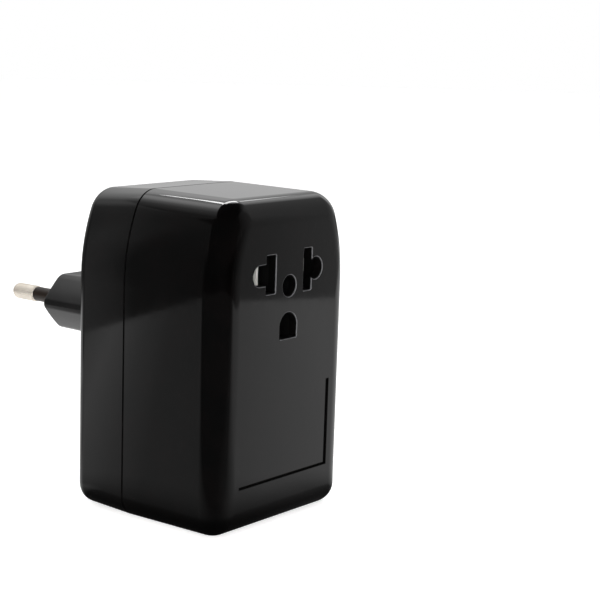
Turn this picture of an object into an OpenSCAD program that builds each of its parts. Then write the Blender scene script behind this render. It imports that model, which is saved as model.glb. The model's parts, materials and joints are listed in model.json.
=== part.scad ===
// Travel voltage converter: a two-part moulded housing with a two-pin mains plug on its back, a socket
// for flat blades and round pins on its front, a voltage selector and a small transformer inside.
// X runs across the socket face, Y from the socket face to the plug, Z up. The origin is the middle of
// the flat underside that the converter stands on. Sizes are in millimetres.

/* [Housing] */
// Width of the housing
body_w = 47.5; // [47:0.5:56]
// Height of the housing
body_h = 76.5; // [75.5:0.5:90]
// Depth of the front shell, from the seam to the socket face
front_depth = 29; // [28:0.5:36]
// Depth of the back shell, from the seam to the plug side
back_depth = 15.5; // [15:0.5:22]
// Thickness of the shell walls
wall = 2.2; // [1.8:0.1:2.4]
// Radius of the two bottom corners
foot_r = 5.3; // [3:0.1:6]
// Radius of the shoulders that lean in towards the top
shoulder_r = 43; // [38:1:60]
// Distance from the top down to where the shoulders begin
shoulder_drop = 21.5; // [19.5:0.5:23.5]
// Radius of the two top corners
top_r = 6.9; // [6.2:0.1:9]
// Rounding of the edge around the socket face
front_edge_r = 6; // [4:0.5:6.5]
// Rounding of the edge around the plug side
back_edge_r = 3; // [2.5:0.5:4]
// How far the top of the front shell falls towards the socket face
front_draft = 0.5; // [0:0.1:1]
// How far the back shell draws in, above and below, towards the plug side
back_draft = 0.75; // [0:0.05:1.2]
// Chamfer along both edges of the seam
seam_chamfer = 0.25; // [0.1:0.05:0.5]
// Height of the tongue that locates the back shell in the front shell
tongue_h = 1.5; // [1:0.1:2.5]
// Gap around the tongue
tongue_gap = 0.1; // [0.05:0.05:0.3]

/* [Housing screws] */
// Distance of the top screws from the sides
top_screw_inset = 9.05; // [8.55:0.05:10.25]
// Distance of the top screws below the top
top_screw_drop = 7.25; // [7:0.25:8]
// Distance of the bottom screws from the sides
bottom_screw_inset = 5.05; // [4.9:0.05:5.2]
// Height of the bottom screws
bottom_screw_z = 7.3; // [7:0.1:8.5]
// Radius of the screw recesses in the back
recess_r = 2.4; // [2.3:0.1:2.8]
// Wall around a screw recess
recess_wall = 1; // [0.8:0.1:1.2]
// Thickness of the seat under a screw head
screw_seat_t = 2; // [1.5:0.1:3]
// Thread radius of the housing screws
screw_r = 1.3; // [1:0.05:1.4]
// Head radius of the housing screws
screw_head_r = 2.2; // [2:0.05:2.25]
// Head height of the housing screws
screw_head_h = 1.7; // [1.4:0.1:2.2]
// Length of the housing screws under the head
screw_len = 12; // [9:0.5:16]
// Radius of the screw posts in the front shell
post_r = 2.7; // [2.4:0.1:2.75]
// Gap around a screw in its hole
screw_gap = 0.05; // [0.03:0.01:0.1]

/* [Socket] */
// Distance of the live and neutral row below the top
socket_drop = 17.4; // [16.5:0.1:18]
// Distance of the blade slots' inner edges from the middle
slot_inner_x = 5.1; // [4.9:0.1:5.3]
// Width of the left blade slot
left_slot_w = 3.6; // [3.2:0.1:4]
// Height of the left blade slot
left_slot_h = 8.8; // [8:0.1:9.6]
// Width of the right blade slot
right_slot_w = 3.1; // [2.8:0.1:3.6]
// Height of the right blade slot
right_slot_h = 9.8; // [8.8:0.1:10.2]
// Radius of the round-pin opening beside the left slot
left_round_r = 2.4; // [2.3:0.05:2.6]
// Distance of the left round opening's centre from the middle
left_round_x = 10.8; // [10.2:0.1:11.2]
// Radius of the round-pin opening beside the right slot
right_round_r = 2.6; // [2.4:0.05:2.7]
// Distance of the right round opening's centre from the middle
right_round_x = 9.7; // [9.5:0.1:10.4]
// Radius of the round earth hole
earth_r = 2.5; // [2.4:0.05:2.6]
// Distance of the round earth hole below the row
earth_drop = 3.2; // [3:0.1:3.4]
// Width of the arched earth hole
ground_w = 6.4; // [5.8:0.1:6.6]
// Height of the arched earth hole
ground_h = 6.1; // [5.4:0.1:6.4]
// Distance of the arched earth hole's middle below the row
ground_drop = 12.3; // [11.9:0.1:12.5]

/* [Front groove] */
// Half the length of the L-shaped groove's foot
groove_half_w = 16.4; // [14:0.1:16.8]
// Height of the foot of the groove
groove_z = 11.1; // [9:0.1:14]
// Length of the upright of the groove
groove_h = 21; // [15:0.5:24]
// Width of the upright of the groove
groove_bar_w = 1.1; // [0.8:0.1:1.5]
// Width of the foot of the groove
groove_foot_w = 0.6; // [0.4:0.1:1]
// Depth of the groove
groove_depth = 0.5; // [0.3:0.1:0.8]

/* [Contacts] */
// Thickness of the contact strip
strip_t = 0.4; // [0.3:0.05:0.5]
// Distance of the inner leaf from the middle
inner_leaf_x = 5.1; // [4.9:0.1:5.3]
// Distance of the shared middle leaf from the middle
middle_leaf_x = 7.2; // [7:0.1:7.4]
// Distance of the outer leaf from the middle
outer_leaf_x = 11.6; // [11.4:0.1:12]
// Height of the inner and middle leaves
leaf_h = 7.6; // [7:0.1:8]
// Height of the outer leaf
outer_leaf_h = 3; // [2.5:0.1:5]
// Depth behind the socket face at which the middle leaf starts
middle_leaf_start = 3.8; // [3.2:0.1:5]
// Depth behind the socket face at which the inner and outer leaves start
side_leaf_start = 5.2; // [4:0.1:7]
// Depth that a plug's pins reach into the socket
pin_reach = 19.5; // [19:0.1:20]
// Length of the tail behind the carrier
tail_len = 3.5; // [3:0.1:4]
// Width of the tail
tail_w = 3; // [2:0.1:4]
// Gap around a tail in its slot
tail_gap = 0.1; // [0.05:0.05:0.3]

/* [Contact carrier] */
// Wall of the carrier
carrier_wall = 1.5; // [1.2:0.1:1.8]
// Distance of the contact pockets' inner side from the middle
pocket_inner_x = 4.2; // [4:0.1:4.4]
// Distance of the contact pockets' outer side from the middle
pocket_outer_x = 14.2; // [13.8:0.1:14.6]
// Height of the contact pockets
pocket_h = 10.2; // [10:0.1:11]
// Gap around the earth wells
well_gap = 0.2; // [0.1:0.05:0.3]
// Thickness of the carrier's ears
ear_t = 2; // [1.5:0.1:3]
// Width of the carrier's ears
ear_w = 6; // [5:0.1:7]
// Distance of the carrier's screws from the middle
ear_screw_x = 6.5; // [5:0.1:7]
// Gap between the carrier and the posts under its ears
ear_gap = 0.4; // [0.2:0.05:0.6]
// Radius of the carrier's posts in the front shell
ear_post_r = 2.3; // [2:0.1:2.5]
// Thread radius of the carrier's screws
ear_screw_r = 1; // [0.8:0.05:1.1]
// Head radius of the carrier's screws
ear_head_r = 1.9; // [1.6:0.05:2]
// Head height of the carrier's screws
ear_head_h = 1.3; // [1:0.1:1.6]
// Length of the carrier's screws under the head
ear_screw_len = 8; // [6:0.5:12]

/* [Plug] */
// Gap between the selector switch and the plug's lip
plug_gap = 0.8; // [0.4:0.1:1.2]
// Distance of the flange from the housing's sides
flange_inset = 3.05; // [3:0.05:4.5]
// Height of the plug's flange
flange_h = 20; // [18:0.1:20.4]
// Corner radius of the flange
flange_r = 6; // [4:0.1:8]
// How far the flange stands out of the back
flange_proud = 0.3; // [0:0.05:0.6]
// Gap around the flange in its opening
flange_gap = 0.15; // [0.1:0.05:0.3]
// Thickness of the lip behind the wall
lip_t = 1.8; // [1.4:0.1:2.2]
// Width of the lip
lip_w = 36; // [33:0.5:38]
// How far the lip reaches past the flange above and below
lip_end = 2.7; // [2.4:0.1:2.9]
// Width of the six-sided plug at its face
plug_face_w = 35.9; // [34.6:0.1:36]
// Height of the six-sided plug at its face
plug_face_h = 13.4; // [13:0.1:14.4]
// Length of the straight top edge of the plug's face
plug_flat = 22; // [20:0.5:23]
// Corner radius at the ends of the plug's straight edges
plug_corner_r = 3.5; // [2:0.1:4]
// Radius of the plug's two side corners
plug_tip_r = 2; // [1:0.1:3]
// Rounding of the plug's face
plug_edge_r = 0.8; // [0.4:0.1:1]
// How much the plug widens on each side towards its flange
plug_draft = 0.3; // [0.2:0.1:0.8]
// Length of the plug, from the back of the housing to its face
plug_len = 17; // [14:0.5:22]
// Radius of the plug's pins
pin_r = 2; // [1.9:0.05:2.4]
// Length of the pins outside the plug's face
pin_len = 19; // [18:0.5:20]
// Length of the bare tip of a pin
tip_len = 8; // [7:0.5:10]
// Edge rounding of a pin's tip
tip_edge_r = 1.2; // [0.6:0.1:1.5]
// Distance between the pins at the plug's face
pin_base_pitch = 18.4; // [18:0.1:19.2]
// Distance between the pins at their tips
pin_tip_pitch = 17.6; // [17:0.1:18]
// Radius of a pin inside its sleeve
pin_core_r = 1.45; // [1.2:0.05:1.55]
// Outer radius of a sleeve
sleeve_r = 1.8; // [1.7:0.05:1.85]
// Gap around a pin in its hole
pin_gap = 0.05; // [0.02:0.01:0.1]
// Radius of the widest collar step
collar_r = 2.9; // [2.7:0.1:3.2]
// Fall in radius from one collar step to the next
collar_fall = 0.33; // [0.2:0.01:0.36]
// Height of one collar step
collar_h = 0.9; // [0.6:0.1:1.2]
// Radius of the shoulder that stops a pin from being pulled out
shoulder_stop_r = 2.6; // [2:0.1:3]
// Thickness of that shoulder
shoulder_stop_t = 1.2; // [0.8:0.1:1.6]
// Length of a pin's tail behind its shoulder
pin_tail_len = 3; // [2:0.1:4]
// Length of the soldering lug on a tail
lug_len = 3.2; // [2:0.1:4]
// Width of the soldering lug
lug_w = 2.8; // [2:0.1:3.4]
// Thickness of the soldering lug
lug_t = 1.6; // [1:0.1:2]

/* [Stakes] */
// Radius of the stakes that hold the plug's lip
lip_stake_r = 1.1; // [0.8:0.1:1.2]
// Distance of these stakes from the middle
lip_stake_x = 14; // [12:0.5:15]
// Radius of the stakes that hold the switch
switch_stake_r = 0.8; // [0.6:0.1:0.9]
// How far a stake's head is wider than the stake
stake_head_over = 0.7; // [0.5:0.1:0.8]
// Thickness of a stake's head
stake_head_t = 0.8; // [0.6:0.1:1.2]
// Gap between a stake and what it holds
stake_gap = 0.1; // [0.05:0.05:0.15]

/* [Selector] */
// Distance of the selector below the top
window_drop = 13.6; // [13.3:0.1:13.8]
// Width of the selector window
window_w = 9.2; // [8.6:0.1:10]
// Opening of the selector window from bottom to top
window_h = 4.6; // [4.2:0.1:5]
// Chamfer around the selector window
window_chamfer = 0.4; // [0.2:0.1:0.6]
// Width of the knob
knob_w = 4.85; // [4:0.05:5]
// Height of the knob
knob_h = 3.3; // [2.8:0.1:3.5]
// How far the knob's face is sunk below the back
knob_sunk = 0.7; // [0.3:0.1:1]
// Width of the knob's wide rib, at the end where it rests
knob_wide_rib = 0.9; // [0.6:0.1:1.1]
// Width of the groove between the wide rib and the middle rib
knob_groove = 0.5; // [0.3:0.1:0.7]
// Width of the knob's middle rib
knob_mid_rib = 0.7; // [0.5:0.1:0.9]
// Width of the narrow rib at the knob's other end
knob_narrow_rib = 0.4; // [0.3:0.1:0.6]
// Height of the ribs
knob_rib_h = 0.4; // [0.2:0.1:0.6]
// Travel of the knob
travel = 2.2; // [1.8:0.1:2.4]
// Width of the sliding block inside
slider_w = 8.6; // [7.6:0.1:9]
// Thickness of the sliding block
slider_t = 2.4; // [2:0.1:2.6]
// Gap around the sliding block
slider_gap = 0.15; // [0.1:0.05:0.25]
// Length of the switch frame without its ears
frame_w = 13.2; // [12.8:0.1:14]
// Height of the switch frame
frame_h = 6.4; // [5.8:0.1:6.4]
// Depth of the switch frame behind its plate
frame_d = 4.4; // [4:0.1:5]
// Sheet thickness of the switch frame
frame_t = 0.5; // [0.4:0.05:0.6]
// Distance of the ears' holes from the middle
frame_ear_x = 9.3; // [9:0.1:9.5]
// Length of an ear past its hole
frame_ear_end = 2; // [1.6:0.1:2.2]
// Thickness of the switch base
base_t = 0.8; // [0.6:0.1:1.2]
// Distance between neighbouring terminals in a row
terminal_pitch = 3.2; // [3:0.1:3.4]
// Distance between the two rows of terminals
terminal_rows = 3.2; // [3:0.1:3.4]
// Width of a terminal
terminal_w = 1.6; // [1.2:0.1:1.8]
// Thickness of a terminal
terminal_t = 0.5; // [0.4:0.05:0.6]
// Length of a terminal behind the base
terminal_len = 3.2; // [2.5:0.1:4]
// Radius of a terminal's rivet head
rivet_r = 0.7; // [0.5:0.05:0.8]
// Height of a terminal's rivet head
rivet_h = 0.5; // [0.3:0.05:0.6]
// Length of a bridge contact
bridge_w = 4.6; // [4.2:0.1:5]
// Height of a bridge contact
bridge_h = 1; // [0.8:0.1:1.2]
// Length of the stem that holds a bridge contact in the block
bridge_stem_w = 2; // [1.5:0.1:2.5]
// How deep that stem sits in the block
bridge_stem_in = 0.7; // [0.5:0.05:0.9]
// Gap between the bridge contacts and what they pass
bridge_gap = 0.1; // [0.05:0.05:0.15]

/* [Transformer] */
// Gap between the core's strap and the screw posts beside it
core_side_gap = 0.6; // [0.4:0.1:2]
// Gap between the core's strap and the contact carrier above it
core_top_gap = 1.85; // [1.5:0.05:4]
// Thickness of the stack of laminations
core_stack = 20; // [16:0.5:21]
// Height of the core's underside
core_z = 4.4; // [4:0.1:4.8]
// Thickness of the core strap
strap_t = 0.8; // [0.6:0.1:0.9]
// How far the strap's ends reach under the core
strap_hook = 3; // [2:0.5:4]
// Wall of the coil former
former_t = 0.8; // [0.6:0.1:1]
// Gap between the coil former and the core
former_gap = 0.15; // [0.1:0.05:0.25]
// Gap between the windings and their chamber
coil_gap = 0.05; // [0.03:0.01:0.1]
// Thickness of the tape
tape_t = 0.25; // [0.15:0.05:0.4]
// Corner radius of the windings
coil_r = 2; // [1:0.1:3]
// Height of the terminal blocks on the former
block_h = 4.2; // [3.5:0.1:5]
// Width of the terminal blocks
block_w = 2.6; // [2:0.1:3]
// Radius of the former's pins
former_pin_r = 0.5; // [0.4:0.05:0.6]
// Length of the former's pins
former_pin_len = 7; // [6:0.1:8]
// How deep the former's pins sit in their blocks
former_pin_in = 3.2; // [2.5:0.1:3.6]
// Distance between neighbouring former pins
former_pin_pitch = 2.4; // [2.2:0.1:2.5]
// Radius of the thermal fuse
fuse_r = 1.75; // [1.5:0.05:2]
// Length of the thermal fuse
fuse_len = 11; // [9:0.5:12]
// Length of a wire end of the thermal fuse
fuse_tail = 2.7; // [2:0.1:3]
// Radius of a wire end of the thermal fuse
fuse_wire_r = 0.4; // [0.3:0.05:0.5]
// Distance of the thermal fuse behind the core's middle
fuse_back = 4.25; // [3:0.25:5]

/* [Ribs] */
// Thickness of the ribs that hold the core
rib_t = 1.5; // [1.2:0.1:2]
// Gap between a rib and the core or its strap
rib_gap = 0.15; // [0.1:0.05:0.3]
// Distance of the ribs under the core from the middle
floor_rib_x = 6; // [4:0.5:8]
// Height at which the fins start
fin_z = 6; // [5.5:0.5:8]
// Length of the fins
fin_h = 20; // [14:0.5:21]
// Height of the lower side ribs
low_rib_z = 16; // [12:1:20]
// Height of the upper side ribs
high_rib_z = 30; // [24:1:36]

/* [Leads] */
// Radius of the leads over their insulation
lead_r = 0.7; // [0.5:0.05:0.75]
// Straight stub of a lead where it meets a terminal
lead_stub = 1.7; // [1.5:0.1:1.9]
// Unit of the bows in the leads, which their routes count in
lead_bow = 1; // [0.9:0.02:1.05]

/* [Hidden] */
// Steps along each arc of the housing's outline, and along its rounded edges
arc_steps = 7;
edge_steps = 5;
// Smoothness of round pieces, and of the round corners that are joined by a hull
$fn = 48;
hull_fn = 32;
// Smallest radius of a corner that an inset has used up, and how far a cut runs past a face
least_r = 0.05;
past = 1;

// Main planes of the housing
seam_y = (front_depth - front_edge_r) / 2;
front_y = seam_y - front_depth;
back_y = seam_y + back_depth;
inner_front_y = front_y + wall;
inner_back_y = back_y - wall;
inner_half_w = body_w / 2 - wall;
rib_end_y = seam_y - tongue_h - past;

// Heights that hang from the top
shoulder_z = body_h - shoulder_drop;
socket_z = body_h - socket_drop;
window_z = body_h - window_drop;
plug_z = window_z - frame_h / 2 - plug_gap - lip_end - flange_h / 2;

// Places of the four housing screws, as X and Z
top_screw_x = body_w / 2 - top_screw_inset;
bottom_screw_x = body_w / 2 - bottom_screw_inset;
top_screw_z = body_h - top_screw_drop;
screw_places = [for (s = [-1, 1])
    each [[s * top_screw_x, top_screw_z], [s * bottom_screw_x, bottom_screw_z]]];

// Socket and carrier
earth_z = socket_z - earth_drop;
ground_z = socket_z - ground_drop;
pocket_floor_y = front_y + pin_reach;
carrier_back_y = pocket_floor_y + carrier_wall;
carrier_half_w = pocket_outer_x + carrier_wall;
carrier_low_z = ground_z - ground_h / 2 - well_gap - carrier_wall;
carrier_high_z = socket_z + pocket_h / 2 + carrier_wall;
ear_screw_z = carrier_high_z + ear_gap + ear_post_r;
ear_y = carrier_back_y - ear_t;
ear_places = [for (s = [-1, 1]) [s * ear_screw_x, ear_screw_z]];
contact_tail_x = (middle_leaf_x + outer_leaf_x + strip_t) / 2;

// Plug and pins
flange_w = body_w - 2 * flange_inset;
face_y = back_y + plug_len;
lip_y = inner_back_y - lip_t;
pin_lean = asin((pin_base_pitch - pin_tip_pitch) / 2 / pin_len);
pin_back = face_y - lip_y;
stop_back = pin_back + shoulder_stop_r * tan(pin_lean) + pin_gap;
lug_y = face_y - stop_back - shoulder_stop_t - pin_tail_len;
lug_x = pin_base_pitch / 2 + (face_y - lug_y) * tan(pin_lean);
collar_steps = 3;
lip_stake_z = flange_h / 2 + lip_end / 2;
lip_stakes = [for (s = [-1, 1], t = [-1, 1]) [s * lip_stake_x, plug_z + t * lip_stake_z]];

// Selector, from the plate on the back wall inwards
plate_y = inner_back_y - frame_t;
slider_y = plate_y - slider_gap;
slider_h = frame_h - 2 * frame_t - 2 * slider_gap;
base_y = plate_y - frame_d;
bridge_y = base_y + rivet_h + bridge_gap;
block_y = slider_y - slider_t;
knob_rest_x = travel / 2;
terminal_end_y = base_y - base_t - terminal_len;
switch_stakes = [for (s = [-1, 1]) [s * frame_ear_x, window_z]];

// Transformer, which fills the room between the screw posts and below the carrier. Across the core lie two
// yokes of one share each and a window of three, and up it two outer legs and two windows of one share
// each and a middle leg of two.
core_y = (inner_front_y + inner_back_y) / 2;
core_half_x = bottom_screw_x - post_r - core_side_gap - strap_t;
core_h = carrier_low_z - core_top_gap - strap_t - core_z;
core_mid_z = core_z + core_h / 2;
yoke = core_half_x / 2.5;
leg = core_h / 6;
core_back_y = core_y + core_stack / 2;
core_front_y = core_y - core_stack / 2;
window_half = core_half_x - yoke;
former_half = window_half - former_gap;
tube_half_y = core_stack / 2 + former_gap + former_t;
tube_half_z = leg + former_gap + former_t;
rim_half_y = core_stack / 2 + leg - 2 * former_gap;
rim_half_z = 2 * leg - former_gap;
coil_half_y = rim_half_y - tape_t - coil_gap;
coil_half_z = rim_half_z - tape_t - coil_gap;
block_x = former_half + block_w / 2;
block_back_y = core_back_y + former_gap;
block_d = 3 * former_pin_pitch;
block_z = core_mid_z + rim_half_z - block_h;
former_pin_y = [for (i = [0:2]) block_back_y + former_pin_pitch * (i + 0.5)];
former_pin_z = block_z + block_h - former_pin_in;
former_pin_top = former_pin_z + former_pin_len;
strap_top_z = core_z + core_h + strap_t;
strap_half_x = core_half_x + strap_t;
fuse_y = core_y + fuse_back;
fuse_z = strap_top_z + rib_gap + fuse_r;
fuse_end_x = fuse_len / 2 + fuse_tail;
fin_x = (former_half + block_w + core_half_x) / 2;

// Ends of the leads, each with the way that its stub runs, on one side or at one place in a row
low_row_z = window_z - terminal_rows / 2;
function lug_end(s) = [[s * lug_x, lug_y - lug_len, plug_z], [0, -1, 0]];
function fuse_end(s) = [[s * fuse_end_x, fuse_y, fuse_z], [s, 0, 0]];
function former_end(s, i) = [[s * block_x, former_pin_y[i], former_pin_top], [0, 0, 1]];
function terminal_end(i) = [[i * terminal_pitch, terminal_end_y, low_row_z], [0, -1, 0]];
function contact_end(s) = [[s * contact_tail_x, carrier_back_y + tail_len, socket_z], [0, 1, 0]];

// Route from one end to another. Each bend is a share of the way between the stubs and a bow off that line.
function route(from, to, bends) =
    let (a = from[0] + lead_stub * from[1], b = to[0] + lead_stub * to[1])
    concat([from[0], a], [for (t = bends) a + t[0] * (b - a) + lead_bow * t[1]], [b, to[0]]);

live_in_route = route(lug_end(1), fuse_end(1),
    [[0.3, [0.9, -0.5, 0.6]], [0.7, [1.5, -0.3, 0.5]], [0.95, [0.9, 0, 0.1]]]);
neutral_in_route = route(lug_end(-1), former_end(-1, 0),
    [[0.2, [0, -1, 0]], [0.5, [0, -1, 0]], [0.75, [0, 0, 0.3]]]);
switch_feed_route = route(fuse_end(-1), terminal_end(0),
    [[0.07, [-1.3, 0, 0]], [0.2, [-1.8, 0, 0]], [0.46, [-0.8, -1, 0]], [0.72, [0.3, -1.7, 0]],
    [0.93, [0.3, -1.4, 0]]]);
tap_low_route = route(terminal_end(1), former_end(1, 0),
    [[0.1, [0.7, -1.8, 0]], [0.29, [4.4, -1.8, 0]], [0.54, [6.2, -1.6, 0]], [0.79, [4.9, -0.9, 0]],
    [0.93, [2, 0, 0]]]);
tap_high_route = route(terminal_end(-1), former_end(-1, 1),
    [[0.12, [-1, -1.9, 0]], [0.31, [-4.3, -2.3, 0]], [0.54, [-6.6, -2.1, 0]], [0.79, [-5.3, -1, 0]],
    [0.93, [-2.2, 0.2, 0]]]);
live_out_route = route(former_end(1, 1), contact_end(1),
    [[0.1, [1.6, 1.8, 0]], [0.31, [5.2, 2.9, 0]], [0.56, [6.9, 2.1, 0]], [0.82, [5.5, 1.1, 0]],
    [0.97, [2.2, 0.7, 0]]]);
neutral_out_route = route(former_end(-1, 2), contact_end(-1),
    [[0.1, [-1.9, 1.3, 0]], [0.31, [-5.8, 2.2, 0]], [0.56, [-7.5, 1.9, 0]], [0.82, [-6.1, 1, 0]],
    [0.97, [-2.4, 0.6, 0]]]);

// Outline of the housing

// Points of an arc, without the last one where it runs on into the next arc
function arc(cx, cz, r, from, to, last = arc_steps) =
    [for (i = [0:last]) let (a = from + (to - from) * i / arc_steps) [cx + r * cos(a), cz + r * sin(a)]];

// Right half of the outline, from the underside up to the top, drawn in by an inset
function half_outline(inset, lift, drop) =
    let (
        corner_r = max(foot_r - inset, least_r),
        side_r = shoulder_r - inset,
        crown_r = max(top_r - inset, least_r),
        side_x = body_w / 2 - shoulder_r,
        crown_z = body_h - drop - inset - crown_r,
        crown_x = side_x + sqrt((side_r - crown_r) ^ 2 - (crown_z - shoulder_z) ^ 2),
        lean = atan2(crown_z - shoulder_z, crown_x - side_x)
    )
    concat(
        arc(body_w / 2 - inset - corner_r, lift + inset + corner_r, corner_r, -90, 0),
        arc(side_x, shoulder_z, side_r, 0, lean, arc_steps - 1),
        arc(crown_x, crown_z, crown_r, lean, 90)
    );

function outline(inset, lift, drop) =
    let (half = half_outline(inset, lift, drop))
    concat(half, [for (i = [len(half) - 1:-1:0]) [-half[i][0], half[i][1]]]);

// Solid through rings of the outline, each given as [y, inset, lift, drop] in order of y
module loft(rings) {
    outlines = [for (r = rings) outline(r[1], r[2], r[3])];
    n = len(outlines[0]);
    last = len(rings) - 1;
    points = [for (k = [0:last], p = outlines[k]) [p[0], rings[k][0], p[1]]];
    sides = [for (k = [0:last - 1], i = [0:n - 1])
        let (a = k * n + i, b = k * n + (i + 1) % n)
        each [[a, b, b + n], [a, b + n, a + n]]];
    front_cap = [for (i = [n - 1:-1:0]) i];
    back_cap = [for (i = [0:n - 1]) last * n + i];
    polyhedron(points = points, faces = concat(sides, [front_cap, back_cap]));
}

function front_drop(y) = front_draft * (seam_y - y) / front_depth;
function back_rise(y) = back_draft * max(y - seam_y, 0) / back_depth;

// Rings of the front shell's outside, or of its hollow, whose wall is the inset
function front_rings(inset) =
    let (edge = max(front_edge_r - inset, least_r))
    [for (i = [0:edge_steps])
        let (a = 90 - 90 * i / edge_steps, y = front_y + inset + edge * (1 - sin(a)))
        [y, inset + edge * (1 - cos(a)), 0, front_drop(y)]];

// Rings of the back shell's outside, or of its hollow
function back_rings(inset) =
    let (edge = max(back_edge_r - inset, least_r))
    [for (i = [0:edge_steps])
        let (a = 90 * i / edge_steps, y = back_y - inset - edge * (1 - sin(a)))
        [y, inset + edge * (1 - cos(a)), back_rise(y), back_rise(y)]];

// Shared shapes

// Upright cylinder turned to run along Y, from y to y + length, at a place given as X and Z
module rod_y(place, y, length, r) {
    translate([place[0], y, place[1]])
        rotate([-90, 0, 0])
            cylinder(r = r, h = length);
}

// Box from its lowest to its highest corner
module box(low, high) {
    translate(low)
        cube(high - low);
}

// Box mirrored to one side, for s of -1 or 1
module side_box(s, low, high) {
    box([min(s * low[0], s * high[0]), low[1], low[2]], [max(s * low[0], s * high[0]), high[1], high[2]]);
}

// Plate with round corners that lies across Y, from y to y + t, with its middle at height z
module round_plate_y(w, h, r, y, t, z) {
    translate([0, y + t, z])
        rotate([90, 0, 0])
            linear_extrude(t)
                round_square(w, h, r);
}

// Rectangle with round corners
module round_square(w, h, r) {
    square([w - 2 * r, h], center = true);
    square([w, h - 2 * r], center = true);
    for (s = [-1, 1], t = [-1, 1])
        translate([s * (w / 2 - r), t * (h / 2 - r)])
            circle(r);
}

// Turns what is drawn along Z so that it runs out along a plug pin from the plug's face
module along_pin(s) {
    translate([s * pin_base_pitch / 2, face_y, plug_z])
        rotate([0, 0, s * pin_lean])
            rotate([-90, 0, 0])
                children();
}

// Screw whose head rests at y and whose thread runs towards the socket face
module screw_y(place, y, r, length, head_r, head_h) {
    difference() {
        union() {
            rod_y(place, y - length, length + least_r, r);
            rod_y(place, y, head_h, head_r);
        }
        for (turn = [0, 90])
            translate([place[0], y + head_h, place[1]])
                rotate([0, turn, 0])
                    cube([head_r, head_h, head_h / 3], center = true);
    }
}

// Stake that stands on the back wall, passes through a plate of the given thickness and ends in a head
module stake(place, r, held_t) {
    head_y = inner_back_y - held_t - stake_gap - stake_head_t;
    rod_y(place, head_y, inner_back_y - head_y + least_r, r);
    rod_y(place, head_y, stake_head_t, r + stake_head_over);
}

// Housing

module front_shell() {
    color("#1a1a1b") {
        difference() {
            loft(concat(front_rings(0), [[seam_y - seam_chamfer, 0, 0, 0], [seam_y, seam_chamfer, 0, 0]]));
            loft(concat(front_rings(wall), [[seam_y + past, wall, 0, 0]]));
            loft([[seam_y - tongue_h - tongue_gap, wall / 2, 0, 0], [seam_y + past, wall / 2, 0, 0]]);
            socket_holes(front_y - past, inner_front_y + past, 0);
            front_groove();
        }
        for (p = screw_places)
            screw_post(p);
        for (p = ear_places)
            ear_post(p);
        for (s = [-1, 1])
            front_ribs(s);
    }
}

// Slots and holes of the socket from one depth to another, each widened by a gap
module socket_holes(from_y, to_y, gap) {
    blade_slot(-1, left_slot_w, left_slot_h, from_y, to_y);
    box([-left_round_x, from_y, socket_z - left_round_r], [-slot_inner_x, to_y, socket_z + left_round_r]);
    rod_y([-left_round_x, socket_z], from_y, to_y - from_y, left_round_r);
    blade_slot(1, right_slot_w, right_slot_h, from_y, to_y);
    rod_y([right_round_x, socket_z], from_y, to_y - from_y, right_round_r);
    earth_wells(from_y, to_y, gap);
}

module blade_slot(s, w, h, from_y, to_y) {
    side_box(s, [slot_inner_x, from_y, socket_z - h / 2], [slot_inner_x + w, to_y, socket_z + h / 2]);
}

// Round earth hole, and the arched one with its flat side down
module earth_wells(from_y, to_y, gap) {
    arch_r = ground_w / 2 + gap;
    arch_z = ground_z + ground_h / 2 - ground_w / 2;
    rod_y([0, earth_z], from_y, to_y - from_y, earth_r + gap);
    rod_y([0, arch_z], from_y, to_y - from_y, arch_r);
    box([-arch_r, from_y, ground_z - ground_h / 2 - gap], [arch_r, to_y, arch_z]);
}

// L-shaped groove in the lower part of the socket face
module front_groove() {
    box([groove_half_w - groove_bar_w, front_y - past, groove_z],
        [groove_half_w, front_y + groove_depth, groove_z + groove_h]);
    box([-groove_half_w, front_y - past, groove_z],
        [groove_half_w, front_y + groove_depth, groove_z + groove_foot_w]);
}

// Post for a housing screw, with a web to the wall
module screw_post(p) {
    side = sign(p[0]);
    hole_y = seam_y + screw_seat_t - screw_len - past;
    difference() {
        union() {
            rod_y(p, inner_front_y - least_r, seam_y - inner_front_y + least_r, post_r);
            intersection() {
                side_box(side, [abs(p[0]), inner_front_y - least_r, p[1] - rib_t / 2],
                    [body_w / 2, rib_end_y, p[1] + rib_t / 2]);
                loft(concat(front_rings(wall / 2), [[seam_y, wall / 2, 0, 0]]));
            }
        }
        rod_y(p, hole_y, seam_y - hole_y + past, screw_r + screw_gap);
    }
}

// Post for one of the carrier's screws
module ear_post(p) {
    hole_y = ear_y + ear_t - ear_screw_len - past;
    difference() {
        rod_y(p, inner_front_y - least_r, ear_y - inner_front_y + least_r, ear_post_r);
        rod_y(p, hole_y, ear_y - hole_y + past, ear_screw_r + screw_gap);
    }
}

// Ribs of the front shell that hold the core from below, from the front and from the side
module front_ribs(s) {
    side_box(s, [floor_rib_x - rib_t / 2, core_front_y, wall - least_r],
        [floor_rib_x + rib_t / 2, rib_end_y, core_z]);
    side_box(s, [fin_x - rib_t / 2, inner_front_y - least_r, fin_z],
        [fin_x + rib_t / 2, core_front_y - rib_gap, fin_z + fin_h]);
    for (z = [low_rib_z, high_rib_z])
        side_box(s, [strap_half_x + rib_gap, core_front_y, z - rib_t / 2],
            [inner_half_w + least_r, rib_end_y, z + rib_t / 2]);
}

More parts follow.
